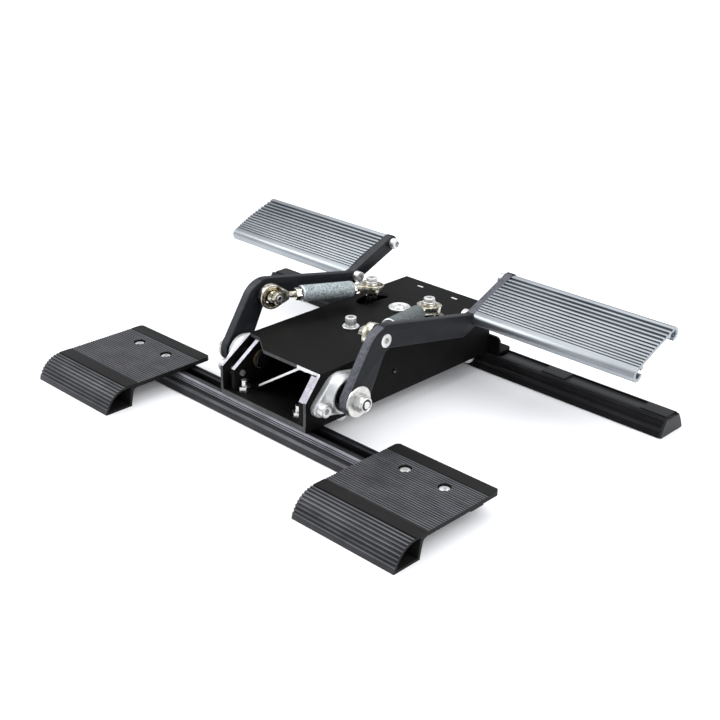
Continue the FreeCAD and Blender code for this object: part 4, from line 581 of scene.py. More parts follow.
# Painted shade: a darker copy of that painted light, for the left arm's front edges.
ARM_EDGE_SHADE = Finish("arm_shade", (0.016, 0.018, 0.021), (0.036, 0.039, 0.045), 0.2, 0.34, 0.46,
                   1100.0, 160.0, bump=0.3, gloss=0.3)
PAD_ANODISE = Finish("pad_anodise", (0.32, 0.345, 0.365), (0.41, 0.435, 0.455), 1.0, 0.34, 0.44,
                     500.0, 18.0, (0.03, 1.0, 1.0), 0.12)
# Painted shade in the pads' grooves.
PAD_GROOVE_SHADE = Finish("pad_groove", (0.1, 0.115, 0.125), (0.17, 0.19, 0.205), 1.0, 0.4, 0.52, 500.0,
                    18.0, (0.03, 1.0, 1.0), 0.12)
# Painted reflection: the grain lets this chrome run down to dark patches, which stand in for the dark surroundings
# it reflects.
BRIGHT_STEEL_REFLECTION = Finish("bright_steel", (0.3, 0.295, 0.28), (0.94, 0.93, 0.9), 1.0, 0.12, 0.26, 420.0,
                      190.0, bump=0.06)
SATIN_STEEL = Finish("satin_steel", (0.54, 0.53, 0.51), (0.78, 0.77, 0.74), 1.0, 0.28, 0.4, 700.0,
                     120.0, bump=0.08)
YELLOW_ZINC = Finish("yellow_zinc", (0.26, 0.235, 0.155), (0.96, 0.94, 0.84), 1.0, 0.14, 0.3, 300.0,
                     170.0, bump=0.06)
RACE_BRONZE = Finish("race_bronze", (0.16, 0.12, 0.05), (0.52, 0.44, 0.25), 1.0, 0.2, 0.34, 300.0,
                     200.0, bump=0.06)
SILVER_ZINC = Finish("silver_zinc", (0.46, 0.46, 0.44), (0.74, 0.74, 0.72), 1.0, 0.18, 0.32, 400.0,
                     140.0, bump=0.06)
CAST_SILVER = Finish("cast_silver", (0.56, 0.57, 0.57), (0.72, 0.73, 0.73), 0.75, 0.34, 0.5, 800.0,
                     90.0, bump=0.35, relief=0.0001)
KNURLED = Finish("knurled_aluminium", (0.17, 0.21, 0.215), (0.53, 0.59, 0.6), 0.6, 0.4, 0.58, 620.0,
                 480.0, bump=0.5, relief=0.0001)
# Painted shade: a darker copy of the knurled finish, for the right barrel.
KNURLED_PAINTED_SHADE = Finish("knurled_shade", (0.075, 0.09, 0.09), (0.2, 0.225, 0.225), 0.5, 0.42, 0.6,
                       620.0, 480.0, bump=0.5, relief=0.0001)
# Painted reflection: bright and dark streaks up the stud spacers stand in for what their steel reflects.
STREAKED_REFLECTION = Finish("streaked_steel", (0.01, 0.01, 0.01), (0.8, 0.79, 0.76), 1.0, 0.14, 0.26, 520.0,
                  30.0, (1.0, 1.0, 0.03), 0.05)
BARREL_RING = Finish("barrel_ring", (0.6, 0.64, 0.66), (0.8, 0.83, 0.84), 0.8, 0.28, 0.4, 700.0,
                     200.0)
# Dark steel; on the pivot shafts' inner parts and the pits of the elbow bolts' ends it is painted shade.
DARK_STEEL_AND_SHADE = Finish("dark_steel", (0.01, 0.01, 0.011), (0.022, 0.022, 0.024), 0.4, 0.3, 0.42, 700.0,
                    80.0, gloss=0.4)
BLACK_RUBBER = Finish("black_rubber", (0.012, 0.012, 0.013), (0.022, 0.022, 0.023), 0.0, 0.55, 0.72,
                      1300.0, 60.0, bump=0.3, gloss=0.3)
BLACK_PLASTIC = Finish("black_plastic", (0.012, 0.012, 0.013), (0.02, 0.02, 0.021), 0.0, 0.42, 0.55,
                       1500.0, 60.0, bump=0.2, gloss=0.3)
# Painted shade: bronze made nearly black, for the bushings inside the body.
BRONZE_SHADE = Finish("bronze", (0.03, 0.024, 0.016), (0.07, 0.052, 0.032), 0.8, 0.38, 0.52, 700.0, 90.0)
BOARD_LACQUER = Finish("board_lacquer", (0.01, 0.08, 0.04), (0.02, 0.13, 0.06), 0.0, 0.25, 0.4,
                       500.0, 120.0)
TICK_WHITE = Finish("tick_white", (0.62, 0.62, 0.6), (0.8, 0.8, 0.78), 0.0, 0.45, 0.6, 900.0, 300.0,
                    scuff=0.3, bare=(0.3, 0.3, 0.29))


# Pieces

WELD = 2e-7  # points closer than this become one, in metres
COPY_WELD = 1e-6  # the same for copies of the CAD's meshes
CREASE = 25.0  # an edge sharper than this stays sharp, in degrees
FOLD = 28.0  # the same for copies, whose edges are eased above it
FLAT = 0.4  # faces that turn less than this become one, in degrees


@contextmanager
def edited(mesh: bpy.types.Mesh) -> Iterator[bmesh.types.BMesh]:
    """Opens a mesh for editing and writes it back afterwards.

    Args:
        mesh: the mesh.

    Yields:
        Its copy for bmesh's tools.
    """
    work = bmesh.new()
    work.from_mesh(mesh)
    yield work
    work.to_mesh(mesh)
    work.free()


def shade(mesh: bpy.types.Mesh, crease: float) -> None:
    """Smooths a mesh's shading except at its creases, an angle in degrees."""
    mesh.shade_smooth()
    mesh.set_sharp_from_angle(angle=math.radians(crease))


def placed(name: str, data: bpy.types.ID) -> bpy.types.Object:
    """A new object of the scene that shows some data.

    Args:
        name: name of the object.
        data: its mesh, camera or light.

    Returns:
        The object.
    """
    made = bpy.data.objects.new(name, data)
    bpy.context.scene.collection.objects.link(made)
    return made


def meshed(name: str, shape: Shape, finishes: Sequence[Finish] = ()) -> bpy.types.Mesh:
    """A shape as a welded mesh whose faces look outwards.

    Args:
        name: name of the mesh.
        shape: the shape in the row's frame.
        finishes: finishes by the numbers in the shape's marks.

    Returns:
        The mesh.
    """
    mesh = bpy.data.meshes.new(name)
    mesh.from_pydata(shape.verts.tolist(), [], shape.faces)
    for finish in finishes:
        mesh.materials.append(finish.material())
    mesh.polygons.foreach_set("material_index", shape.marks)
    with edited(mesh) as work:
        bmesh.ops.remove_doubles(work, verts=work.verts, dist=WELD)
        bmesh.ops.recalc_face_normals(work, faces=work.faces)
    return mesh


def piece(name: str, shape: Shape, body: str, finishes: Sequence[Finish],
          nodes: Sequence[str] = ()) -> bpy.types.Object:
    """Makes one piece of a shape, dresses it and lets it ride on a body.

    Args:
        name: name of the piece.
        shape: its shape in the row's frame.
        body: CAD body that carries it.
        finishes: finishes by the numbers in the shape's marks.
        nodes: CAD nodes that it stands for.

    Returns:
        The new object.
    """
    mesh = meshed(name, shape, finishes)
    shade(mesh, CREASE)
    made = placed(name, mesh)
    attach(made, body)
    if nodes:
        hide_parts(*nodes)
    LOG.info("%s: %d faces on %s", name, len(mesh.polygons), body)
    return made


def body_of(node: str) -> str:
    """The CAD body that carries a node."""
    bodies = frame["record"]["behaviour"]["bodies"]
    return next(body for body, members in bodies.items() if node in members)


def remade(node: str, shape: Shape, finishes: Sequence[Finish]) -> bpy.types.Object:
    """Makes the piece that stands for one CAD node.

    Args:
        node: the CAD node.
        shape: its finer shape.
        finishes: finishes by the numbers in the shape's marks.

    Returns:
        The new object.
    """
    return piece(node + "_fine", shape, body_of(node), finishes, [node])


def both_sides(made: dict[str, tuple[Shape, list[Finish]]], left: dict[str, list[Finish]]) -> None:
    """Makes the right side's pieces, then their mirror images on the left side.

    Args:
        made: shape and finishes by the CAD node's name without its side.
        left: finishes that differ on the left side.
    """
    for side in Side:
        for part, (shape, finishes) in made.items():
            looks = left.get(part, finishes) if side is Side.LEFT else finishes
            remade(f"{side.word}_{part}", shape.on(side), looks)


@dataclass(frozen=True)
class Facing:
    """Faces that look one way, beyond a low corner, and take a finish of their own, which paints light on them."""

    finish: Finish
    way: tuple[float, float, float]
    within: float = 14.0
    corner: tuple[float, float, float] = (-1.0, -1.0, -1.0)

    def takes(self, normal: np.ndarray, centre: np.ndarray) -> np.ndarray:
        """Which faces it takes: n . w >= cos(within), with the face's middle beyond the corner.

        Args:
            normal: unit normal of each face.
            centre: middle of each face.

        Returns:
            True for each face that it takes.
        """
        way = np.array(self.way) / np.linalg.norm(self.way)
        looks = normal @ way >= math.cos(math.radians(self.within))
        return looks & np.all(centre >= self.corner, axis=1)


def softened(node: str, finish: Finish, ease: float = 0.25 * MM, facings: Sequence[Facing] = (),
             cuts: Sequence[float] = ()) -> None:
    """A merged copy of a CAD node with its sharp edges eased, which stands for the node.

    Args:
        node: CAD node to copy.
        finish: finish of the copy.
        ease: width of the eased edges, in metres.
        facings: faces with other finishes, painted light.
        cuts: places on X where faces are divided, so that a facing can end there.
    """
    mesh = frame["nodes"][node].data.copy()
    mesh.name = node + "_fine"
    mesh.materials.clear()
    for each in [finish, *(facing.finish for facing in facings)]:
        mesh.materials.append(each.material())
    with edited(mesh) as work:
        bmesh.ops.remove_doubles(work, verts=work.verts, dist=COPY_WELD)
        for cut in cuts:
            bmesh.ops.bisect_plane(work, geom=work.verts[:] + work.edges[:] + work.faces[:],
                                   plane_co=(cut, 0, 0), plane_no=(1, 0, 0))
        work.normal_update()
    normal = np.array([face.normal for face in mesh.polygons])
    centre = np.array([face.center for face in mesh.polygons])
    number = np.zeros(len(normal), int)
    for index, facing in enumerate(facings):
        number[facing.takes(normal, centre)] = index + 1
    mesh.polygons.foreach_set("material_index", number.tolist())
    with edited(mesh) as work:
        bmesh.ops.dissolve_limit(work, angle_limit=math.radians(FLAT), verts=work.verts, edges=work.edges,
                                 delimit={"MATERIAL"})
    shade(mesh, FOLD)
    made = placed(node + "_fine", mesh)
    if ease:
        bevel = made.modifiers.new("eased", "BEVEL")
        bevel.width = ease
        bevel.segments = 2
        bevel.limit_method = "ANGLE"
        bevel.angle_limit = math.radians(FOLD + 4)
        bevel.harden_normals = True
    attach(made, body_of(node))
    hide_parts(node)
    LOG.info("%s: copy of the solid, eased", made.name)


def dressed(node: str, finish: Finish) -> None:
    """Gives a CAD node, as it is, one finish in all its slots.

    Args:
        node: the CAD node.
        finish: its finish.
    """
    data = frame["nodes"][node].data
    if not data.materials:
        data.materials.append(finish.material())
    for index in range(len(data.materials)):
        data.materials[index] = finish.material()
    LOG.info("%s: dressed as it is", node)


# Sub-assemblies


STUD_LIFT = 3.2 * MM  # how far above the CAD's the parts on the rocker's studs sit


def at_x(x: float, point: Sequence[float]) -> np.ndarray:
    """A copy of a point with another X."""
    return np.array([x, point[1], point[2]])


@dataclass
class Places:
    """Where the right side's moving and turning parts sit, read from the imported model.

    The arm's and the ball's faces are given by the X of the inner and of the outer one.
    """

    pad_head: float = 5.0 * MM
    pivot: np.ndarray = field(init=False)
    stud: np.ndarray = field(init=False)
    elbow: np.ndarray = field(init=False)
    low_port: np.ndarray = field(init=False)
    high_port: np.ndarray = field(init=False)
    arm: tuple[float, float] = field(init=False)
    ball: tuple[float, float] = field(init=False)

    def __post_init__(self) -> None:
        """Reads joints and boxes of the right side; the left side mirrors them."""
        joints = {joint["name"]: joint for joint in frame["joints"]}
        self.pivot = np.array(joints["right_pedal_swing"]["pos_m"])
        self.stud = np.array(joints["right_ball_turn"]["pos_m"])
        low, high = (np.array(corner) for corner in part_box("right_elbow_ball"))
        self.elbow = (low + high) / 2
        self.ball = (low[0], high[0])
        low, high = (np.array(corner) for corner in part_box("right_pad_screws"))
        self.low_port = low + self.pad_head
        self.high_port = high - self.pad_head
        low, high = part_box("right_arm")
        self.arm = (low.x, high.x)


@dataclass(frozen=True)
class Screw:
    """Sizes of a socket screw, in millimetres.

    The head and the shank are given by their radii, and the socket by its size over flats.
    """

    head: float
    height: float
    socket: float
    shank: float
    length: float

    def made(self, crown: list[tuple[float, float]], pit: float, seat: Sequence[float],
             axis: Sequence[float]) -> Shape:
        """The screw under a given crown.

        Args:
            crown: rings of the head from its top to its seat.
            pit: height of the socket's floor.
            seat: middle of the seat.
            axis: direction of the shank.

        Returns:
            The screw.
        """
        top = crown[0][0]
        socket = [(pit, 0), (pit, WIDE, self.socket), (top, WIDE, self.socket)]
        shank = [(0, self.shank), (self.length, self.shank), (self.length, 0)]
        return turned(rings([*socket, *crown, *shank]), seat, axis)

    def cap(self, seat: Sequence[float], axis: Sequence[float]) -> Shape:
        """The screw with a straight head whose rim is softened.

        Args:
            seat: middle of the seat.
            axis: direction of the shank.

        Returns:
            The screw.
        """
        top, soft = -self.height, 0.5
        crown = [(top, self.socket * 0.66), (top, self.head - soft),
                 (top + soft * 0.3, self.head - soft * 0.3), (top + soft, self.head), (0.0, self.head)]
        return self.made(crown, top * 0.45, seat, axis)

    def dome(self, seat: Sequence[float], axis: Sequence[float]) -> Shape:
        """The screw with a button head: r = R sqrt(1 - (h / H)^2) above its edge."""
        crown = [(-self.height * h, self.head * math.sqrt(1 - h * h)) for h in np.linspace(0.9, 0.0, 7)]
        return self.made(crown, crown[0][0] * 0.35, seat, axis)


@dataclass(frozen=True)
class Nut:
    """Sizes of a hexagon nut, in millimetres.

    The bore is given by its radius, and the round collar on the far end by its height.
    """

    flats: float
    height: float
    bore: float
    collar: float = 0.0

    def made(self, base: Sequence[float], axis: Sequence[float]) -> Shape:
        """The nut with its coned ends, from the middle of its seat along an axis.

        Args:
            base: middle of the seat.
            axis: direction away from the seat.

        Returns:
            The nut.
        """
        corner, half = self.flats / math.sqrt(3), self.flats / 2
        cone = (corner - half) * 0.42
        rows = [(0, self.bore), (0, half), (cone, corner, self.flats),
                (self.height - cone, corner, self.flats), (self.height, half)]
        if self.collar:
            rim, end = half - 0.3, self.height + self.collar
            rows += [(self.height, rim), (end - 0.5, rim), (end, rim - 0.5)]
        end = rows[-1][0]
        rows += [(end, self.bore * 1.08), (end - 0.4, self.bore)]
        return turned(rings(rows), base, axis)


def washer(base: Sequence[float], radius: float, thickness: float, hole: float, axis: Point = UP) -> Shape:
    """Flat washer with softened rims, its sizes in millimetres.

    Args:
        base: middle of its lower face.
        radius: its outer radius.
        thickness: its height.
        hole: radius of its hole.
        axis: direction of its height.

    Returns:
        The washer.
    """
    soft = min(0.35, thickness / 3)
    rows = [(0, hole), (0, radius - soft), (soft, radius), (thickness - soft, radius),
            (thickness, radius - soft), (thickness, hole), (0, hole)]
    return turned(rings(rows), base, axis, 64)


def threaded(base: Sequence[float], axis: Sequence[float], radius: float, length: float,
             pitch: float = 1.0) -> Shape:
    """Threaded end in millimetres: a crest at every pitch, and r = R - 0.3 p half way between.

    Args:
        base: middle of its first ring.
        axis: its direction.
        radius: radius of the crests.
        length: length of the thread.
        pitch: distance between two crests.

    Returns:
        The thread with its closed end.
    """
    count = int(length / pitch)
    rows = [(0, radius)]
    for turn in range(count):
        rows += [((turn + 0.5) * pitch, radius - 0.3 * pitch), ((turn + 1) * pitch, radius)]
    end = count * pitch + 0.4
    return turned(rings([*rows, (end, radius - 0.6), (end, 0)]), base, axis, 40)


@dataclass
class Rails:
    """The two extruded rails with their caps, slot strips and rubber blocks.

    The profile lists (depth below the top, depth of the groove, finish) down the flank, in millimetres. On the
    front rail finish 1 is a painted highlight line, 2 a band of painted light and 3 painted light low on the
    flank; the rear rail is painted darker, as shade.
    """

    flank: tuple[float, float, float] = (17.0 * MM, 14.3 * MM, 9.5 * MM)
    toe: float = 0.8 * MM
    recess: float = 8.0 * MM
    recess_depth: float = 1.2 * MM
    slot: float = 4.2 * MM
    lip: float = 2.2 * MM
    chamber: float = 8.0 * MM
    chamber_height: float = 6.0 * MM
    rim: float = 0.15 * MM
    profile: tuple[tuple[float, float, int], ...] = (
        (0.0, 0.0, 0), (0.3, 0.0, 1), (2.1, 0.0, 0), (2.25, 0.8, 0), (2.6, 0.8, 0), (2.75, 0.0, 1),
        (3.4, 0.0, 0), (3.55, 0.8, 0), (3.9, 0.8, 0), (4.05, 0.0, 1), (4.7, 0.0, 0), (4.9, 0.8, 0),
        (7.6, 0.8, 0), (8.0, 0.0, 2), (10.4, 0.0, 3), (11.6, 0.0, 3), (12.8, 0.0, 3),
        (14.0, 0.0, 3), (15.0, 0.0, 3))

    def flank_points(self, height: float) -> tuple[np.ndarray, np.ndarray]:
        """Right flank from the floor to the top, as (half width, height), and its edges' finishes.

        The flank is the circle through its three given points, less the profile's depth.

        Args:
            height: height of the rail.

        Returns:
            Array of points going up, and the finish number of each edge between two of them.
        """
        low, middle, high = self.flank
        p = np.array([[low, self.toe], [middle, height / 2], [high, height]])
        a = 2 * (p[1:] - p[:1])
        b = np.sum(p[1:] ** 2, axis=1) - np.sum(p[0] ** 2)
        centre = np.linalg.solve(a, b)
        radius = np.linalg.norm(p[0] - centre)
        knots = np.array([knot for knot in self.profile if height - knot[0] * MM > self.toe + 0.5 * MM])
        z = np.append(height - knots[:, 0] * MM, self.toe)[::-1]
        depth = np.append(knots[:, 1] * MM, 0.0)[::-1]
        half = centre[0] + np.sqrt(radius ** 2 - (z - centre[1]) ** 2) - depth
        return np.stack([half, z], axis=1), knots[::-1, 2].astype(int)

    def section(self, height: float) -> tuple[np.ndarray, np.ndarray]:
        """Section of the rail, anticlockwise, as (y, z) about its middle, and its edges' finishes.

        Args:
            height: height of the rail.

        Returns:
            The section's points, and the finish number of each edge.
        """
        flank, tones = self.flank_points(height)
        foot = np.array([[flank[0, 0] - self.toe, 0.0]])
        floor = height - self.recess_depth
        top = floor - self.lip
        inner = np.array([[self.recess, height], [self.recess, floor], [self.slot, floor],
                          [self.slot, top], [self.chamber, top],
                          [self.chamber, top - self.chamber_height]])
        right = np.concatenate([foot, flank, inner])
        marks = np.concatenate([[0], tones, np.zeros(len(inner), int)])
        left = right[::-1] * np.array([-1.0, 1.0])
        return np.concatenate([right, left]), np.concatenate([marks, [0], marks[::-1], [0]])

    def build(self) -> None:
        """Makes the rails, caps, strips and blocks."""
        # The front rail takes painted highlight lines and painted light; the rear rail takes painted shade.
        finishes = {"front_rail": [RAIL_ANODISE, RAIL_HIGHLIGHT_LINE, RAIL_LIGHT_BAND, HEEL_MID_LIGHT],
                    "rear_rail": [RAIL_PAINTED_SHADE, RAIL_ANODISE, RAIL_ANODISE, RAIL_PAINTED_SHADE]}
        for node, looks in finishes.items():
            low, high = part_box(node)
            section, marks = self.section(high.z)
            middle = (low.x, (low.y + high.y) / 2, 0.0)
            remade(node, plate(section, [], middle, ALONG_X, high.x - low.x, self.rim, tones=marks), looks)
        softened("rail_end_caps", BLACK_PLASTIC, 0.4 * MM)
        softened("rear_slot_strips", BLACK_PLASTIC, 0.2 * MM)
        softened("bump_blocks", BLACK_RUBBER, 0.5 * MM)


@dataclass
class HeelRests:
    """The two ribbed heel rests, their flush bolts and hidden T-nuts.

    The nose is an arc with ribs, down to a plain lip that takes up lip_turn degrees. Behind it
    a wall goes from its foot up to the plate, whose fine ribs are notches of one pitch. Near
    and level are how closely a point must lie on the arc or on the face to belong to it.
    """

    nose: float = 23.0 * MM
    wall: float = 2.4 * MM
    plate: float = 4.0 * MM
    floor: float = 2.2 * MM
    rib_start: float = 34.0 * MM
    rib_end: float = 103.0 * MM
    ribs: int = 27
    rib_depth: float = 0.5 * MM
    nose_ribs: int = 9
    nose_depth: float = 0.9 * MM
    tongue: tuple[float, float] = (81.5 * MM, 95.5 * MM)
    tongue_depth: float = 1.0 * MM
    reach: float = 88.5 * MM
    corner: float = 5.0 * MM
    wall_foot: float = 27.0 * MM
    wall_back: float = 29.5 * MM
    lip_turn: float = 12.0
    near: float = 0.06 * MM
    level: float = 0.01 * MM
    bolt: float = 19.6 * MM
    pocket: float = 5.3 * MM
    sunk: float = 3.4 * MM
    screw: Screw = Screw(4.3, 1.9, 3.0, 2.5, 8.5)

    def nose_arc(self, top: float) -> tuple[np.ndarray, float, float]:
        """Middle of the nose's arc, its angle at the toe, and the turn from rib to rib, in degrees.

        Args:
            top: height of the plate's face.

        Returns:
            The middle and the two angles.
        """
        centre = np.array([math.sqrt(self.nose ** 2 - (self.nose - top) ** 2), top - self.nose])
        toe = 180 - math.degrees(math.asin(-centre[1] / self.nose))
        return centre, toe, (toe - self.lip_turn - 90) / self.nose_ribs

    def section(self, top: float, length: float) -> tuple[np.ndarray, np.ndarray]:
        """Outer loop and hollow of the heel rest's section, as (y, z) from its toe.

        The nose is p(t) = c + R (cos t, sin t); each of its ribs is left between two notches of
        nose_depth, and the plate's fine ribs are notches of rib_depth at an even pitch.

        Args:
            top: height of the plate's face.
            length: depth of the heel rest.

        Returns:
            The outer loop, anticlockwise, and the hollow's loop, clockwise.
        """
        centre, toe, step = self.nose_arc(top)
        crown = [arc(centre, self.nose, 90.0, 90 + step * 0.2, 3)]
        valley = self.nose - self.nose_depth
        for index in range(self.nose_ribs):
            middle = 90 + step * (index + 0.5)
            crown += [arc(centre, valley, middle - step * 0.14, middle + step * 0.14, 3),
                      arc(centre, self.nose, middle + step * 0.35, middle + step * 0.65, 3)]
        crown.append(arc(centre, self.nose, toe - self.lip_turn + 1, toe, 3))
        pitch = (self.rib_end - self.rib_start) / self.ribs
        marks = self.rib_start + pitch * np.arange(self.ribs)
        notch = np.array([[0.0, 0.0], [0.12, -1.0], [0.48, -1.0], [0.60, 0.0]])
        ribs = (marks[:, None, None] * [1, 0] + notch * [pitch, self.rib_depth] + [0, top]).reshape(-1, 2)
        under = top - self.plate
        (left, right), deep = self.tongue, under - self.tongue_depth
        foot, back = self.wall_foot, self.wall_back
        lower = np.array([
            [foot, 0.0], [foot, self.floor], [back, under - 3.0 * MM], [back + 1.2 * MM, under - 1.0 * MM],
            [back + 4.0 * MM, under], [left, under], [left, deep], [right, deep], [right, under],
            [length - 0.4 * MM, under], [length, under + 0.4 * MM], [length, top - 0.6 * MM],
            [length - 0.6 * MM, top]])
        outer = np.concatenate([lower, ribs[::-1], *crown])
        inner = self.nose - self.wall
        low = 180 - math.degrees(math.asin((self.floor - centre[1]) / inner))
        hollow = np.concatenate([arc(centre, inner, low, 90, 6), [[back - self.wall, top - self.wall]],
                                 [[foot - self.wall, self.floor]]])
        return outer, hollow

    def tones(self, outer: np.ndarray, top: float) -> np.ndarray:
        """Finish numbers of the section's edges: 1, a painted highlight, on the ribs' crests, and 2, a painted
        middle light, between them and on the lip.

        Args:
            outer: outer loop of the section.
            top: height of the plate's face.

        Returns:
            One finish number for each edge.
        """
        middle = (outer + np.roll(outer, -1, axis=0)) / 2
        centre, toe, step = self.nose_arc(top)
        way = middle - centre
        reach = np.linalg.norm(way, axis=1)
        turn = np.degrees(np.arctan2(way[:, 1], way[:, 0]))
        nose = (reach < self.nose + self.near) & (reach > self.nose - self.nose_depth - self.near) & (
            turn > 90 + step * 0.3)
        crest = (np.abs(reach - self.nose) < self.near) & (turn < toe - self.lip_turn + 0.8)
        plain = (middle[:, 0] > self.rib_start) & (middle[:, 0] < self.rib_end - 1.2 * MM) & (
            middle[:, 1] > top - self.rib_depth - self.level)
        ridge = np.abs(middle[:, 1] - top) < self.level
        return np.where(nose, np.where(crest, 1, 2), np.where(plain, np.where(ridge, 1, 2), 0))

    def seats(self, node: str) -> list[Point]:
        """Where the heads of a heel rest's two bolts sit.

        Args:
            node: CAD node of the heel rest.

        Returns:
            The two places.
        """
        low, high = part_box(node)
        middle = (low.x + high.x) / 2
        return [(middle + way * self.bolt, low.y + self.reach, high.z - self.sunk) for way in (-1, 1)]

    def rest(self, node: str) -> None:
        """Makes one heel rest: its section along X, rear corners rounded and bolt pockets bored.

        Args:
            node: CAD node of the heel rest.
        """
        low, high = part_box(node)
        outer, hollow = self.section(high.z, high.y - low.y)
        shape = plate(outer, [hollow], (low.x, low.y, 0.0), ALONG_X, high.x - low.x, 0.2 * MM,
                      tones=self.tones(outer, high.z))
        made = remade(node, shape, [HEEL_ANODISE, HEEL_CREST_HIGHLIGHT, HEEL_MID_LIGHT])
        bore, r, spare = self.pocket / MM, self.corner, self.corner + 2 * MM
        pocket = rings([(0, 0), (0, bore), (8, bore), (8, 0)])
        cutters = [turned(pocket, seat, UP) for seat in self.seats(node)]
        for way, edge in ((-1, low.x), (1, high.x)):
            quarter = arc((0.0, 0.0), r, 0, 90, 9)
            loop = np.concatenate([quarter, [[0.0, spare], [spare, spare], [spare, 0.0]]])
            loop = (loop * [way, 1] + [edge - way * r, high.y - r])[::-way]
            cutters.append(plate(loop, [], (0, 0, -MM), ALONG_Z, high.z + 2 * MM, 0.0, steps=1))
        self.cut(made, cutters)

    def cut(self, target: bpy.types.Object, cutters: Sequence[Shape]) -> None:
        """Cuts shapes out of a piece and keeps the result as its mesh.

        Args:
            target: the piece.
            cutters: closed shapes to take away.
        """
        mesh = meshed("cutter", merged(cutters))
        knife = placed("cutter", mesh)
        boolean = target.modifiers.new("cut", "BOOLEAN")
        boolean.operation = "DIFFERENCE"
        boolean.solver = "EXACT"
        boolean.object = knife
        bpy.context.view_layer.update()
        graph = bpy.context.evaluated_depsgraph_get()
        done = bpy.data.meshes.new_from_object(target.evaluated_get(graph))
        target.modifiers.clear()
        old = target.data
        target.data = done
        bpy.data.meshes.remove(old)
        bpy.data.objects.remove(knife)
        bpy.data.meshes.remove(mesh)
        shade(done, CREASE)

    def build(self) -> None:
        """Makes both heel rests with their bolts."""
        for side in Side:
            node = side.word + "_heel_rest"
            self.rest(node)
            bolts = [self.screw.cap(seat, DOWN) for seat in self.seats(node)]
            remade(side.word + "_heel_bolts", merged(bolts), [BRIGHT_STEEL_REFLECTION])
            dressed(side.word + "_heel_tee_nuts", SILVER_ZINC)


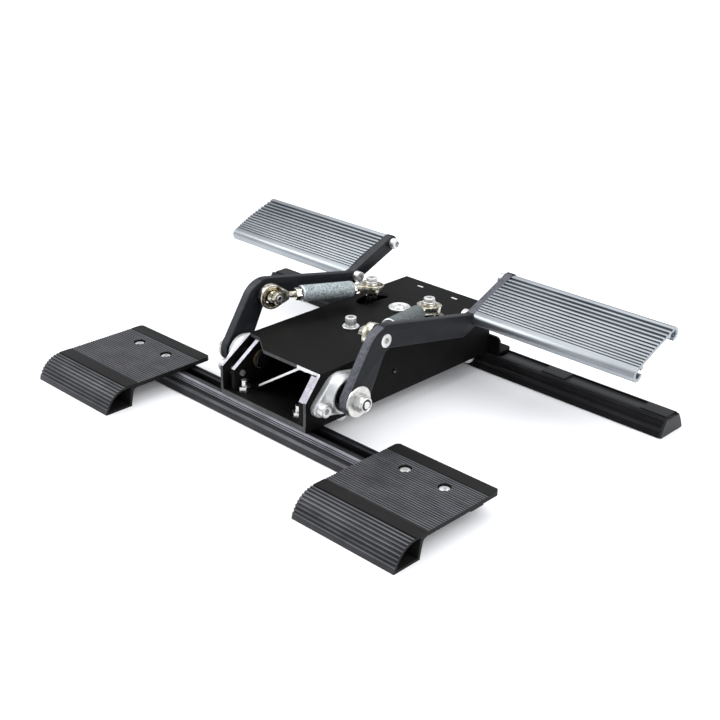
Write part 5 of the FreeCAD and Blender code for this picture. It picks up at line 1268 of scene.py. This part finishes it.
@dataclass
class Body:
    """The steel body: base plate, folded cover, brackets, brace and their screws."""

    sheet: float = 3.0 * MM
    liner: float = 6.0 * MM
    liner_depth: float = 5.4 * MM
    post: float = 21.0 * MM
    setback: float = 16.6 * MM
    bare_from: float = 25.0 * MM
    screw_x: float = 46.2 * MM
    rear_screw_y: float = 120.25 * MM
    bracket_screw: tuple[float, float] = (18.0 * MM, 27.0 * MM)
    bracket_back: float = 2.5 * MM
    dome: Screw = Screw(6.3, 6.0, 3.0, 2.5, 8.0)
    bracket_dome: float = 5.4
    brace_from: float = -24.0 * MM
    tick: tuple[float, float, float] = (6.4 * MM, 2.0 * MM, 0.06 * MM)
    ticks: tuple[tuple[float, float], ...] = ((-23.4 * MM, 131.6 * MM), (18.6 * MM, 131.1 * MM))

    def wall_liner(self) -> Shape:
        """Strip inside the right wall that follows the wall's slanted front edge.

        Returns:
            The strip, its slanted edge in the second finish, a painted light.
        """
        low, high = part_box("top_cover")
        under = high.z - self.sheet
        front = low.y + 0.7 * MM
        knee = low.z + self.post - 0.8 * MM
        back = low.y + self.setback * (under - low.z - self.post) / (high.z - low.z - self.post) + 0.9 * MM
        deep = self.liner_depth
        outline = np.array([[front, low.z + 0.1 * MM], [front + deep, low.z + 0.1 * MM],
                            [front + deep, knee - 1.0 * MM], [back + deep + 3 * MM, under], [back, under],
                            [front, knee]])
        inside = high.x - self.sheet
        return plate(outline, [], (inside - self.liner, 0.0, 0.0), ALONG_X, self.liner - 0.05 * MM, 0.3 * MM,
                     tones=np.array([0, 0, 0, 0, 1, 0]))

    def cover_ticks(self) -> Shape:
        """Two plain printed ticks near the cover's rear edge.

        Returns:
            Both ticks as one shape.
        """
        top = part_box("top_cover")[1].z
        length, width, depth = self.tick
        loop = np.array([[-length, -width], [length, -width], [length, width], [-length, width]]) / 2
        base = (0.0, 0.0, top - depth / 2)
        return merged(plate(loop + place, [], base, ALONG_Z, depth, 0.02 * MM) for place in self.ticks)

    def domes(self) -> None:
        """Makes the tall dome screws under the base plate and the two low ones of the rear bracket."""
        low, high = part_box("base_screws")
        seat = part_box("base_plate")[0].z
        front = low.y + high.x - self.screw_x
        rear_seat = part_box("top_cover")[1].y + self.bracket_back
        across, up = self.bracket_screw
        bracket = replace(self.dome, head=self.bracket_dome, height=(high.y - rear_seat) / MM)
        screws = [self.dome.dome((side * self.screw_x, y, seat), UP)
                  for side in (-1, 1) for y in (front, self.rear_screw_y)]
        screws += [bracket.dome((side * across, rear_seat, up), (0, -1, 0)) for side in (-1, 1)]
        remade("base_screws", merged(screws), [BRIGHT_STEEL_REFLECTION])

    def build(self) -> None:
        """Softens the sheet metal and makes what is printed on it."""
        # Faces along the slanted front edges take painted light.
        slant_light = Facing(MOUTH_EDGE_LIGHT, (0.0, -0.67, 0.74), 15.0)
        low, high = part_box("top_cover")
        ahead = (0.0, -1.0, 0.0)
        # The base plate's and the cover's faces that look forward take painted light.
        softened("base_plate", POWDER_COAT, 0.4 * MM, facings=[Facing(POST_EDGE_LIGHT, ahead)])
        # Beyond this corner the cover's front edge takes the painted highlight.
        bare = (self.bare_from - MM, low.y, high.z - self.sheet)
        softened("top_cover", POWDER_COAT, 0.3 * MM, cuts=[self.bare_from],
                 facings=[Facing(POST_EDGE_LIGHT, ahead, 60.0), slant_light, Facing(EDGE_HIGHLIGHT, ahead, 40.0, bare)])
        softened("rear_bracket", POWDER_COAT, 0.4 * MM)
        softened("bearing_brackets", POWDER_COAT, 0.4 * MM, facings=[slant_light])
        piece("wall_liner", self.wall_liner(), "base", [POWDER_COAT, MOUTH_EDGE_LIGHT])
        piece("cover_ticks", self.cover_ticks(), "base", [TICK_WHITE])
        # The brace's front edge takes the painted highlight.
        softened("diagonal_brace", POWDER_COAT, 0.1 * MM, cuts=[self.brace_from],
                 facings=[Facing(EDGE_HIGHLIGHT, ahead, corner=(self.brace_from, -1.0, -1.0))])
        softened("tee_bolts", SILVER_ZINC, 0.15 * MM)
        softened("hex_nuts", SILVER_ZINC, 0.15 * MM)
        self.domes()
        softened("anchor_post", BRIGHT_STEEL_REFLECTION, 0.2 * MM)
        softened("rocker_shaft", BRIGHT_STEEL_REFLECTION, 0.2 * MM)
        softened("tension_screw", DARK_STEEL_AND_SHADE, 0.15 * MM)
        softened("centring_spring", BRIGHT_STEEL_REFLECTION, 0.0)
        softened("sensor_board", BOARD_LACQUER, 0.0)


@dataclass
class Bearings:
    """The cast flange bearings on the cover's sides and their bolts."""

    tilt: float = 17.3
    bolt: float = 22.5 * MM
    end: float = 37.6 * MM
    screw: Screw = Screw(5.5, 6.0, 5.0, 2.6, 0.0)

    def build(self, places: Places) -> None:
        """Softens the castings and makes the bolts.

        Args:
            places: where the pivots are.
        """
        softened("bearing_housings", CAST_SILVER, 0.3 * MM)
        softened("bearing_inserts", DARK_STEEL_AND_SHADE, 0.15 * MM)
        # The bushings are painted in shade.
        softened("shaft_bushings", BRONZE_SHADE, 0.0)
        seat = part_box("flange_bolts")[1].x - self.screw.height * MM
        screw = replace(self.screw, length=(seat - self.end) / MM)
        turn = math.radians(self.tilt)
        shapes = []
        for way in (-1, 1):
            place = places.pivot + way * self.bolt * np.array([0.0, math.cos(turn), math.sin(turn)])
            bolt = screw.cap(at_x(seat, place), IN)
            shapes += [bolt, bolt.mirrored()]
        remade("flange_bolts", merged(shapes), [BRIGHT_STEEL_REFLECTION])


@dataclass
class Pedals:
    """The two bell-crank arms with their pads, pivots and elbow bolts."""

    foot: float = 13.5 * MM
    leg: float = 57.5
    slope: float = 22.8
    tip: float = 7.0 * MM
    outer_corner: tuple[float, float, float] = (22.3 * MM, 58.6 * MM, 24.0 * MM)
    inner_corner: tuple[float, float, float] = (33.0 * MM, 35.8 * MM, 8.0 * MM)
    top_kink: tuple[float, float, float] = (141.7 * MM, 34.1 * MM, 12.0 * MM)
    bottom_kink: tuple[float, float, float] = (132.0 * MM, 16.2 * MM, 14.0 * MM)
    edge: float = 1.0 * MM
    elbow_screw: Screw = Screw(5.9, 4.7, 5.0, 3.0, 0.0)
    elbow_sunk: float = 4.5 * MM
    elbow_tail: float = 5.0
    pad_screw: Screw = Screw(5.0, 6.0, 5.0, 3.0, 22.0)
    washer: tuple[float, float, float] = (13.2, 2.0, 4.2)
    pivot_bore: float = 5.05 * MM
    port_bore: float = 3.2 * MM
    port_outer: float = 6.0 * MM
    port_inner: float = 3.1 * MM
    bow: tuple[float, float] = (12.7, 0.6)
    under_bow: float = 0.5
    ribs: int = 14
    rib_margin: float = 2.6 * MM
    rib_growth: float = 1.95
    rib_depth: float = 1.35 * MM
    jaw_reach: float = 8.0 * MM
    jaw: float = 3.0 * MM

    def round_end(self, centre: np.ndarray, radius: float, outward_way: np.ndarray, before: np.ndarray,
                  after: np.ndarray) -> list[tuple[float, float, float]]:
        """Two corners of a clockwise outline that round to one half circle about a centre.

        Each corner is where the tangent from a neighbour meets the line at one radius outside.

        Args:
            centre: middle of the half circle.
            radius: its radius.
            outward_way: unit direction out of the plate's end.
            before: corner before the end.
            after: corner after the end.

        Returns:
            The two corners.
        """
        corners = []
        for point, side in ((before, 1), (after, -1)):
            way = centre - point
            swing = side * math.asin(radius / float(np.linalg.norm(way)))
            turn = np.array([[math.cos(swing), -math.sin(swing)], [math.sin(swing), math.cos(swing)]])
            along = turn @ way
            reach = (radius - float((point - centre) @ outward_way)) / float(along @ outward_way)
            corner = point + along * reach
            corners.append((float(corner[0]), float(corner[1]), radius))
        return corners

    def arm_outline(self, places: Places) -> np.ndarray:
        """Outline of the arm as (y, z) from its pivot, anticlockwise.

        Args:
            places: where the right side's parts sit.

        Returns:
            The outline's points.
        """
        leg, tail = (np.array([math.cos(turn), math.sin(turn)])
                     for turn in (math.radians(self.leg), math.radians(self.slope)))
        port = places.high_port[1:] - places.pivot[1:]
        outer, inner, top, bottom = (np.array(corner[:2]) for corner in (
            self.outer_corner, self.inner_corner, self.top_kink, self.bottom_kink))
        foot = self.round_end(np.zeros(2), self.foot, -leg, inner, outer)
        tip = self.round_end(port, self.tip, tail, top, bottom)
        corners = foot + [self.outer_corner, self.top_kink] + tip + [self.bottom_kink, self.inner_corner]
        return rounded(corners, 6.0)[::-1]

    def arm(self, places: Places) -> Shape:
        """Right arm: an 8 mm plate with eased rims and its bored holes.

        Args:
            places: where the right side's parts sit.

        Returns:
            The plate, its front edge in the second finish, a painted light.
        """
        inner, outer = places.arm
        middle = places.pivot[1:]
        sink = (self.elbow_screw.head + 0.15) * MM
        holes = [circle((0.0, 0.0), self.pivot_bore), circle(places.elbow[1:] - middle, sink)]
        holes += [circle(port[1:] - middle, self.port_bore, 32)
                  for port in (places.low_port, places.high_port)]
        outline = self.arm_outline(places)
        # Edges of the outline that face forward take the painted light.
        ahead = np.roll(outline, -1, axis=0) - outline
        front = -ahead[:, 1] > 0.22 * np.linalg.norm(ahead, axis=1)
        return plate(outline, holes, at_x(inner, places.pivot), ALONG_X, outer - inner, self.edge,
                     tones=front.astype(int))

    def bulge(self, s: np.ndarray, length: float) -> np.ndarray:
        """Height of the pad's curved face over its chord.

        The face's slope is T(s) = a + b max(0, 1 - s / c L), so the height over the chord, whose
        slope is a + b c / 2, is the sum of T(s) less the chord's slope.

        Args:
            s: places along the chord.
            length: length of the chord.

        Returns:
            The height at each place.
        """
        steep, c = self.bow
        part = np.clip(s / (c * length), 0, 1)
        return np.radians(steep * c * length * (part - part ** 2 / 2) - steep * c / 2 * s)

    def pad_section(self, length: float) -> tuple[np.ndarray, np.ndarray]:
        """Section of the pad, anticlockwise, as (s, n) from the lower port's middle, and its edges' finishes.

        Args:
            length: distance between the two ports.

        Returns:
            The section's points, and 1 for each edge in a groove, which takes painted shade, else 0.
        """
        outer, inner = self.port_outer, self.port_inner
        growth = np.linspace(1.0, self.rib_growth, self.ribs)
        pitch = growth * (length + 1.0 * MM - self.rib_margin) / growth.sum()
        first = self.rib_margin + np.concatenate([[0.0], np.cumsum(pitch[:-1])])
        notch = np.array([[-0.09, 0.0], [0.01, -0.14], [0.08, -0.8], [0.12, -1.0], [0.38, -1.0], [0.42, -0.8],
                          [0.49, -0.14], [0.59, 0.0]])
        size = np.stack([pitch, self.rib_depth * growth / self.rib_growth], axis=1)
        ribs = (first[:, None, None] * [1, 0] + notch * size[:, None, :] + [0, outer]).reshape(-1, 2)
        ribs = ribs[ribs[:, 0] < length + 0.5 * MM]
        sunk = ribs[:, 1] < outer - 0.12 * self.rib_depth
        ribs[:, 1] += self.bulge(ribs[:, 0], length)
        low, back = self.jaw_reach, self.jaw
        lug = inner - 2.2 * MM
        across = np.linspace(low, length - low, 14)
        under = np.concatenate([
            [[low - back, inner], [low - back, lug], [low, lug]],
            np.stack([across, np.full(14, inner)], axis=1),
            [[length - low, lug], [length - low + back, lug], [length - low + back, inner]]])
        under[:, 1] += self.under_bow * self.bulge(under[:, 0], length) * (under[:, 1] == inner)
        points = np.concatenate([
            arc((0, 0), outer, 90, 330, 6), arc((0, 0), inner, 330, 90, 10), under,
            arc((length, 0), inner, 90, -120, 10), arc((length, 0), outer, -120, 88, 6), ribs[::-1]])
        low_end = np.concatenate([np.zeros(len(points) - len(ribs), bool), sunk[::-1]])
        groove_shade = low_end | np.roll(low_end, -1)
        return points, groove_shade.astype(int)

    def pad(self, places: Places) -> Shape:
        """Right pad: its section carried along X from the arm.

        Args:
            places: where the right side's parts sit.

        Returns:
            The pad, its grooves in the second finish, a painted shade.
        """
        low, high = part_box("right_pad")
        span = places.high_port[1:] - places.low_port[1:]
        slope = math.atan2(span[1], span[0])
        along, up = math.cos(slope), math.sin(slope)
        axes = np.array([[0, along, up], [0, -up, along], OUT])
        points, tones = self.pad_section(float(np.linalg.norm(span)))
        return plate(points, [], at_x(low.x, places.low_port), axes, high.x - low.x, 0.15 * MM,
                     tones=tones)

    def elbow_bolt(self, places: Places) -> Shape:
        """Elbow bolt sunk in the arm, with a hollow end past its nut.

        Args:
            places: where the right side's parts sit.

        Returns:
            The bolt, the pit of its end in the second finish, a painted shade.
        """
        seat = at_x(places.arm[1] - self.elbow_sunk, places.elbow)
        tail = (seat[0] - places.ball[0]) / MM + self.elbow_tail
        end = [(-0.1, 2.95), (1.0, 2.95), (1.2, 2.7), (1.2, 2.15), (0.15, 2.1)]
        hollow = turned(rings((tail + height, radius) for height, radius in end), seat, IN)
        # The pit inside the hollow end is painted shade.
        pit = turned(rings([(tail + 0.2, 2.12), (tail + 0.2, 0)]), seat, IN).marked(1)
        return merged([replace(self.elbow_screw, length=tail).cap(seat, IN), hollow, pit])

    def pivot_shaft(self, places: Places) -> Shape:
        """Pivot shaft: painted in shade inside the body, with a shoulder before the arm and a threaded end.

        Args:
            places: where the right side's parts sit.

        Returns:
            The shaft, its inner part in the second finish, a painted shade.
        """
        face = at_x(places.arm[1], places.pivot)
        base = at_x(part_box("right_pivot_shaft")[0].x, face)
        inner, outer = ((x - base[0]) / MM for x in places.arm)
        ledge = inner - 2.1
        inside = [(0, 0), (0, 7.1), (0.4, 7.5), (2, 7.5), (2, 5), (8, 5)]
        outside = [(8, 5), (ledge, 5), (ledge, 8), (inner, 8), (inner, 5), (outer, 5), (outer, 4)]
        end = [(8.0, 3.2), (10.4, 3.2), (10.7, 2.9), (10.7, 0)]
        return merged([turned(rings(inside), base, OUT).marked(1), turned(rings(outside), base, OUT),
                       threaded(face, OUT, 4.0, 8.3), turned(rings(end), face, OUT)])

    def lock_nuts(self, places: Places) -> Shape:
        """Lock nut of the pivot with its nylon ring, and the nut of the elbow bolt.

        Args:
            places: where the right side's parts sit.

        Returns:
            The nuts, with the nylon in the second finish and the elbow's in the third.
        """
        base = at_x(places.arm[1] + self.washer[1] * MM, places.pivot)
        ring = rings([(7.2, 3.3), (7.2, 5.2), (7.7, 5.2), (7.7, 3.3), (7.2, 3.3)])
        elbow = Nut(10.0, 5.4, 3.0).made(at_x(places.ball[0], places.elbow), IN)
        return merged([Nut(13.4, 5.2, 4.7, 3.0).made(base, OUT), turned(ring, base, OUT).marked(1),
                       elbow.marked(2)])

    def build(self, places: Places) -> None:
        """Makes both pedals.

        Args:
            places: pivots, elbows and ports of the right side.
        """
        inner, outer = places.arm
        screws = [self.pad_screw.cap(at_x(inner, port), OUT)
                  for port in (places.low_port, places.high_port)]
        both_sides({
            "arm": (self.arm(places), [ARM_COAT, ARM_EDGE_LIGHT]),
            "pad": (self.pad(places), [PAD_ANODISE, PAD_GROOVE_SHADE]),
            "pad_screws": (merged(screws), [BRIGHT_STEEL_REFLECTION]),
            "pivot_shaft": (self.pivot_shaft(places), [BRIGHT_STEEL_REFLECTION, DARK_STEEL_AND_SHADE]),
            "pivot_washer": (washer(at_x(outer, places.pivot), *self.washer, OUT), [SATIN_STEEL]),
            "lock_nuts": (self.lock_nuts(places), [BRIGHT_STEEL_REFLECTION, DARK_STEEL_AND_SHADE, YELLOW_ZINC]),
            "elbow_bolt": (self.elbow_bolt(places), [BRIGHT_STEEL_REFLECTION, DARK_STEEL_AND_SHADE]),
        # The left arm's front edges take the darker copy, painted shade.
        }, left={"arm": [ARM_COAT, ARM_EDGE_SHADE]})


@dataclass
class TieRods:
    """The two tie rods: teardrop eyes, races, balls, knurled barrels and lock nuts."""

    eye: float = 11.2 * MM
    eye_width: float = 6.75 * MM
    eye_break: float = 0.8 * MM
    throat: float = 3.4 * MM
    race: float = 1.5 * MM
    ball: float = 6.35 * MM
    ball_half: float = 4.4 * MM
    shank: float = 3.0 * MM
    shank_length: float = 34.0 * MM
    barrel: float = 7.5 * MM
    from_elbow: float = 29.5 * MM
    from_stud: float = 21.5 * MM
    shift: Point = (0.72 * MM, -0.53 * MM, -0.45 * MM)
    necks: tuple[float, float] = (17.0 * MM, 14.5 * MM)
    sleeve: float = 4.7 * MM
    teeth: int = 60
    knurl: float = 0.22 * MM
    chamfer: float = 0.8 * MM

    def teardrop(self, neck: float) -> np.ndarray:
        """Eye's outline, anticlockwise: a circle from which two tangents run to the neck.

        The tangent from (n, t) touches the circle at the angle atan(t / n) + acos(R / hypot(n, t)).

        Args:
            neck: distance from the eye's middle to the neck's end.

        Returns:
            Array of outline points.
        """
        reach = math.hypot(neck, self.throat)
        turn = math.degrees(math.atan2(self.throat, neck) + math.acos(self.eye / reach))
        return np.concatenate([[[neck, -self.throat], [neck, self.throat]],
                               arc((0.0, 0.0), self.eye, turn, 360 - turn, 5.0)])

    def rod_end(self, centre: np.ndarray, bore_axis: np.ndarray, way: np.ndarray, neck: float,
                seat: float) -> Shape:
        """Teardrop eye with a race ring, and its threaded shank.

        Args:
            centre: middle of the eye.
            bore_axis: direction of its bore.
            way: direction of the shank.
            neck: where the neck ends.
            seat: radius of the eye's bore.

        Returns:
            The rod end: the eye in the first finish and the race in the second.
        """
        axes = np.stack([way, np.cross(bore_axis, way), bore_axis])
        half = self.eye_width / 2
        rim = seat + self.race
        eye = plate(self.teardrop(neck), [circle((0.0, 0.0), rim, 48)], centre - bore_axis * half, axes,
                    self.eye_width, self.eye_break)
        proud = half + 0.25 * MM
        ring = turned([Row(-proud, seat), Row(-proud, rim - 0.2 * MM), Row(-proud + 0.3 * MM, rim),
                       Row(proud - 0.3 * MM, rim), Row(proud, rim - 0.2 * MM), Row(proud, seat),
                       Row(-proud, seat)], centre, bore_axis, 64).marked(1)
        thread = threaded(centre + way * neck, way, self.shank / MM, (self.shank_length - neck) / MM)
        return merged([eye, ring, thread])

    def bored_ball(self, centre: np.ndarray, axis: Sequence[float], bore: float, end: float = 0.0) -> Shape:
        """Ball r = sqrt(R^2 - h^2), cut flat and bored, with a sleeve to a given height if asked.

        Args:
            centre: middle of the ball.
            axis: direction of its bore.
            bore: radius of the bore.
            end: height of the sleeve's end over the middle.

        Returns:
            The ball.
        """
        h = np.linspace(-self.ball_half, self.ball_half, 15)
        rows = [Row(-self.ball_half, bore)] + [Row(v, math.sqrt(self.ball ** 2 - v * v)) for v in h]
        if end:
            rows += [Row(self.ball_half, self.sleeve), Row(end, self.sleeve)]
        rows += [Row(end or self.ball_half, bore), Row(-self.ball_half, bore)]
        return turned(rows, centre, axis, 48)

    def knurled_barrel(self, start: np.ndarray, way: np.ndarray, length: float) -> Shape:
        """Barrel with a diamond knurl.

        Its radius is R + d |sin(k (t + q h)) sin(k (t - q h))|, with k half the teeth round it
        and q chosen for square diamonds, fading to a plain chamfer at both ends.

        Args:
            start: middle of its first end.
            way: its direction.
            length: its length.

        Returns:
            The barrel.
        """
        across, rows = 4 * self.teeth, 260
        along = np.linspace(0, length, rows)[:, None]
        t = np.arange(across) * (2 * np.pi / across)
        twist = along / self.barrel
        pattern = np.abs(np.sin(self.teeth / 2 * (t + twist)) * np.sin(self.teeth / 2 * (t - twist)))
        inset = np.minimum(along, length - along) / self.chamfer
        fade, taper = np.clip(inset - 0.6, 0, 1), np.clip(inset, 0, 1)
        radius = self.barrel - self.knurl - (1 - taper) * 0.7 * MM + self.knurl * pattern * fade
        u, v, w = square_to(way)
        ring = np.cos(t)[:, None] * u + np.sin(t)[:, None] * v
        points = start + along[..., None] * w + radius[..., None] * ring[None]
        skin = Shape(points.reshape(-1, 3), [tuple(face) for face in quads(rows, across).tolist()])
        ends = [turned([Row(h, self.barrel - 0.92 * MM), Row(h, self.shank)], start, way, across)
                for h in (0.0, length)]
        ring = turned([Row(length - 1.6 * MM, self.barrel - 0.4 * MM), Row(length - 1.4 * MM, self.barrel),
                       Row(length - 0.5 * MM, self.barrel), Row(length, self.barrel - 0.5 * MM),
                       Row(length, self.barrel - 1.2 * MM)], start, way, 96).marked(1)
        return merged([skin, *ends, ring])

    def build(self, places: Places) -> None:
        """Makes both tie rods and the balls in their eyes.

        Args:
            places: studs and elbows of the right side.
        """
        stud = places.stud + [0.0, 0.0, STUD_LIFT]
        ball = at_x(places.ball[0] + self.ball_half, places.elbow)
        elbow = ball + np.array(self.shift)
        way = elbow - stud
        length = float(np.linalg.norm(way))
        way = way / length
        across = np.cross(Axis.Z.vector, way)
        across /= np.linalg.norm(across)
        front, rear = self.necks
        ends = merged([self.rod_end(elbow, across, -way, front, self.ball + 0.75 * MM),
                       self.rod_end(stud, np.cross(way, across), way, rear, self.ball - 0.7 * MM)])
        barrel = self.knurled_barrel(stud + way * self.from_stud, way,
                                     length - self.from_stud - self.from_elbow)
        nuts = merged([Nut(10.0, 5.5, 3.0).made(elbow - way * (self.from_elbow - 0.2 * MM), way),
                       Nut(10.0, 3.0, 3.0).made(stud + way * (self.from_stud - 3.2 * MM), way)])
        elbow_ball = self.bored_ball(ball, OUT, 3.03 * MM, places.ball[1] - ball[0])
        both_sides({
            "rod_ends": (ends, [YELLOW_ZINC, RACE_BRONZE]), "rod_locknuts": (nuts, [YELLOW_ZINC]),
            "elbow_ball": (elbow_ball, [YELLOW_ZINC]),
            "stud_ball": (self.bored_ball(stud, UP, 3.05 * MM), [BRIGHT_STEEL_REFLECTION]),
            # The right barrel takes the painted shade.
            "rod_barrel": (barrel, [KNURLED_PAINTED_SHADE, BARREL_RING]),
        }, left={"rod_barrel": [KNURLED, BARREL_RING]})


@dataclass
class Rocker:
    """The rocker under the cover, its studs, and the screws on top of the cover.

    The sizes of the coned washers are in millimetres.
    """

    washer: float = 5.6
    boss: float = 4.2
    rise: float = 1.1
    rim: float = 0.7
    teeth: int = 18
    post_neck: float = 1.9
    post_washer: tuple[float, float, float] = (7.5, 1.5, 3.2)
    cap_floor: float = 0.8 * MM

    def build(self, places: Places) -> None:
        """Makes the studs, coned washers and top screws.

        Args:
            places: studs of the right side.
        """
        x, y, _ = places.stud
        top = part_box("rocker_plate")[1].z
        low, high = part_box("stud_spacers")
        height = (high.z - low.z + STUD_LIFT) / MM
        spacer = turned(rings([(0, 3.4), (0, 5.5), (0.6, 5.8), (height - 2.2, 5.8)]), (x, y, top), UP, 144,
                        0.3 * MM, self.teeth)
        cone = turned(rings([(height - 2.2, 6.0), (height, self.boss), (height, 3.0)]), (x, y, top), UP)
        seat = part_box("stud_washers")[0].z + STUD_LIFT
        rise, cup, wide = self.rise, self.rise + self.rim, self.washer
        cone_rows = [(0, 3.0), (0, self.boss), (rise, wide - 0.1), (rise + 0.25, wide), (cup - 0.3, wide),
                     (cup, wide - 0.3), (cup, 3.0), (0, 3.0)]
        coned = turned(rings(cone_rows), (x, y, seat), UP, 64)
        head = seat + cup * MM
        screw = Screw(5.0, 3.3, 4.0, 3.0, (head - top) / MM + 6.0).cap((x, y, head), DOWN)
        # The spacers' streaks are painted reflection.
        made = {"stud_spacers": (merged([spacer, cone]), STREAKED_REFLECTION), "stud_washers": (coned, BRIGHT_STEEL_REFLECTION),
                "stud_screws": (screw, BRIGHT_STEEL_REFLECTION)}
        for node, (shape, finish) in made.items():
            remade(node, merged([shape, shape.mirrored()]), [finish])
        softened("rocker_plate", POWDER_COAT, 0.3 * MM)
        # The bushings are painted in shade.
        softened("rocker_bushings", BRONZE_SHADE, 0.0)
        softened("magnet_holder", BLACK_PLASTIC, 0.3 * MM)
        self.top_screws(y)

    def top_screws(self, rocker_y: float) -> None:
        """Screw and washer over the anchor post, and the dished cap over the rocker's shaft.

        Args:
            rocker_y: Y of the rocker's shaft.
        """
        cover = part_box("top_washers")[0].z
        low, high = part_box("anchor_post")
        post_y = (low.y + high.y) / 2
        dish = rings([(0, 3.2), (0, 9.7), (0.3, 10.0), (1.5, 10.0), (2.0, 9.4), (2.0, 8.2), (1.5, 7.4),
                      (0.9, 6.2), (0.8, 3.2)])
        remade("top_washers", merged([washer((0, post_y, cover), *self.post_washer),
                                      turned(dish, (0, rocker_y, cover), UP, 64)]), [BRIGHT_STEEL_REFLECTION])
        neck, seat = self.post_neck, cover + self.post_washer[1] * MM
        head = Screw(5.0, 6.0, 5.0, 4.0, neck).cap((0, post_y, seat + neck * MM), DOWN)
        shank = turned(rings([(0, 3.0), (11, 3.0), (11, 0)]), (0, post_y, seat), DOWN)
        button = Screw(5.0, 2.6, 3.0, 3.0, 15.0).dome((0, rocker_y, cover + self.cap_floor), DOWN)
        remade("top_screws", merged([head, shank, button]), [BRIGHT_STEEL_REFLECTION])


@dataclass
class Studio:
    """Pale floor, soft light and the camera at the photograph's place.

    Each softbox is given by its name, its place, its width and height, and its watts.
    """

    eye: Point = (0.6879, -0.68965, 0.4779)
    azimuth: float = 43.85
    down: float = 24.415
    roll: float = 0.849
    lens: float = 61.445
    sensor: float = 36.0
    floor_radius: float = 7.0
    floor_sides: int = 64
    # Strength of the floor's weak glow, painted light that lifts its shadows.
    floor_lift: float = 0.07
    sky: tuple[float, ...] = (0.93, 0.95, 1.0, 1.0)
    sky_strength: float = 0.72
    aim: Point = (0.0, 0.0, 0.05)
    softboxes: tuple[tuple[str, Point, tuple[float, float], float], ...] = (
        ("overhead", (-0.4, 0.5, 3.0), (4.2, 4.2), 68.0), ("window", (-1.5, -0.9, 1.5), (1.3, 1.0), 17.0),
        ("fill", (1.3, 0.15, 1.25), (1.2, 1.0), 15.0))

    def stand(self, name: str, data: bpy.types.ID, axes: np.ndarray, place: Point) -> bpy.types.Object:
        """A new object whose own axes are the given rows.

        Args:
            name: name of the object.
            data: its camera or light.
            axes: its X, Y and Z in the row's frame.
            place: where it stands.

        Returns:
            The object.
        """
        made = placed(name, data)
        matrix = np.eye(4)
        matrix[:3, :3] = np.transpose(axes)
        matrix[:3, 3] = place
        made.matrix_world = Matrix(matrix.tolist())
        return made

    def camera(self) -> None:
        """Puts the camera where the photograph was taken from.

        Its back is b = (sin a cos e, -cos a cos e, sin e), its right r = (cos a, sin a, 0) and its
        up u = b x r, turned about b by the roll.
        """
        a, e, r = (math.radians(v) for v in (self.azimuth, self.down, self.roll))
        back = np.array([math.sin(a) * math.cos(e), -math.cos(a) * math.cos(e), math.sin(e)])
        right = np.array([math.cos(a), math.sin(a), 0.0])
        up = np.cross(back, right)
        rolled = math.cos(r) * right + math.sin(r) * up
        raised = -math.sin(r) * right + math.cos(r) * up
        data = bpy.data.cameras.new("camera")
        data.lens = self.lens
        data.sensor_width = self.sensor
        data.clip_start, data.clip_end = 0.02, 50.0
        bpy.context.scene.camera = self.stand("camera", data, np.array([rolled, raised, back]), self.eye)

    def floor(self) -> None:
        """Round pale floor under the pedals, which glows weakly: painted light that lifts its shadows."""
        t = np.arange(self.floor_sides) * (2 * np.pi / self.floor_sides)
        ring = np.stack([np.cos(t), np.sin(t), np.zeros(self.floor_sides)], axis=1) * self.floor_radius
        mesh = bpy.data.meshes.new("floor")
        mesh.from_pydata(ring.tolist(), [], [tuple(range(self.floor_sides))])
        paper = bpy.data.materials.new("floor_paper")
        paper.use_nodes = True
        shader = paper.node_tree.nodes["Principled BSDF"]
        looks = {"Base Color": (0.93, 0.93, 0.94, 1.0), "Roughness": 0.7, "Specular IOR Level": 0.2,
                 "Emission Color": (0.97, 0.98, 1.0, 1.0), "Emission Strength": self.floor_lift}
        for socket, value in looks.items():
            shader.inputs[socket].default_value = value
        mesh.materials.append(paper)
        placed("floor", mesh)

    def softbox(self, name: str, place: Point, size: tuple[float, float], power: float) -> None:
        """Area light that looks at the pedals.

        Args:
            name: name of the light.
            place: where it hangs.
            size: its width and height.
            power: watts.
        """
        data = bpy.data.lights.new(name, "AREA")
        data.shape = "RECTANGLE"
        data.size, data.size_y = size
        data.energy = power
        self.stand(name, data, square_to(np.array(place) - np.array(self.aim)), place)

    def build(self) -> None:
        """Sets up floor, light and camera."""
        world = bpy.data.worlds.new("studio")
        world.use_nodes = True
        background = world.node_tree.nodes["Background"]
        background.inputs["Color"].default_value = self.sky
        background.inputs["Strength"].default_value = self.sky_strength
        bpy.context.scene.world = world
        bpy.context.scene.view_settings.view_transform = "Standard"
        self.floor()
        for softbox in self.softboxes:
            self.softbox(*softbox)
        self.camera()


def main() -> None:
    """Builds the pedals' looks in order."""
    places = Places()
    Studio().build()
    Rails().build()
    HeelRests().build()
    Body().build()
    Bearings().build(places)
    Pedals().build(places)
    TieRods().build(places)
    Rocker().build(places)


if __name__ == "__main__":
    logging.basicConfig(level=logging.INFO, format="%(message)s")
    main()
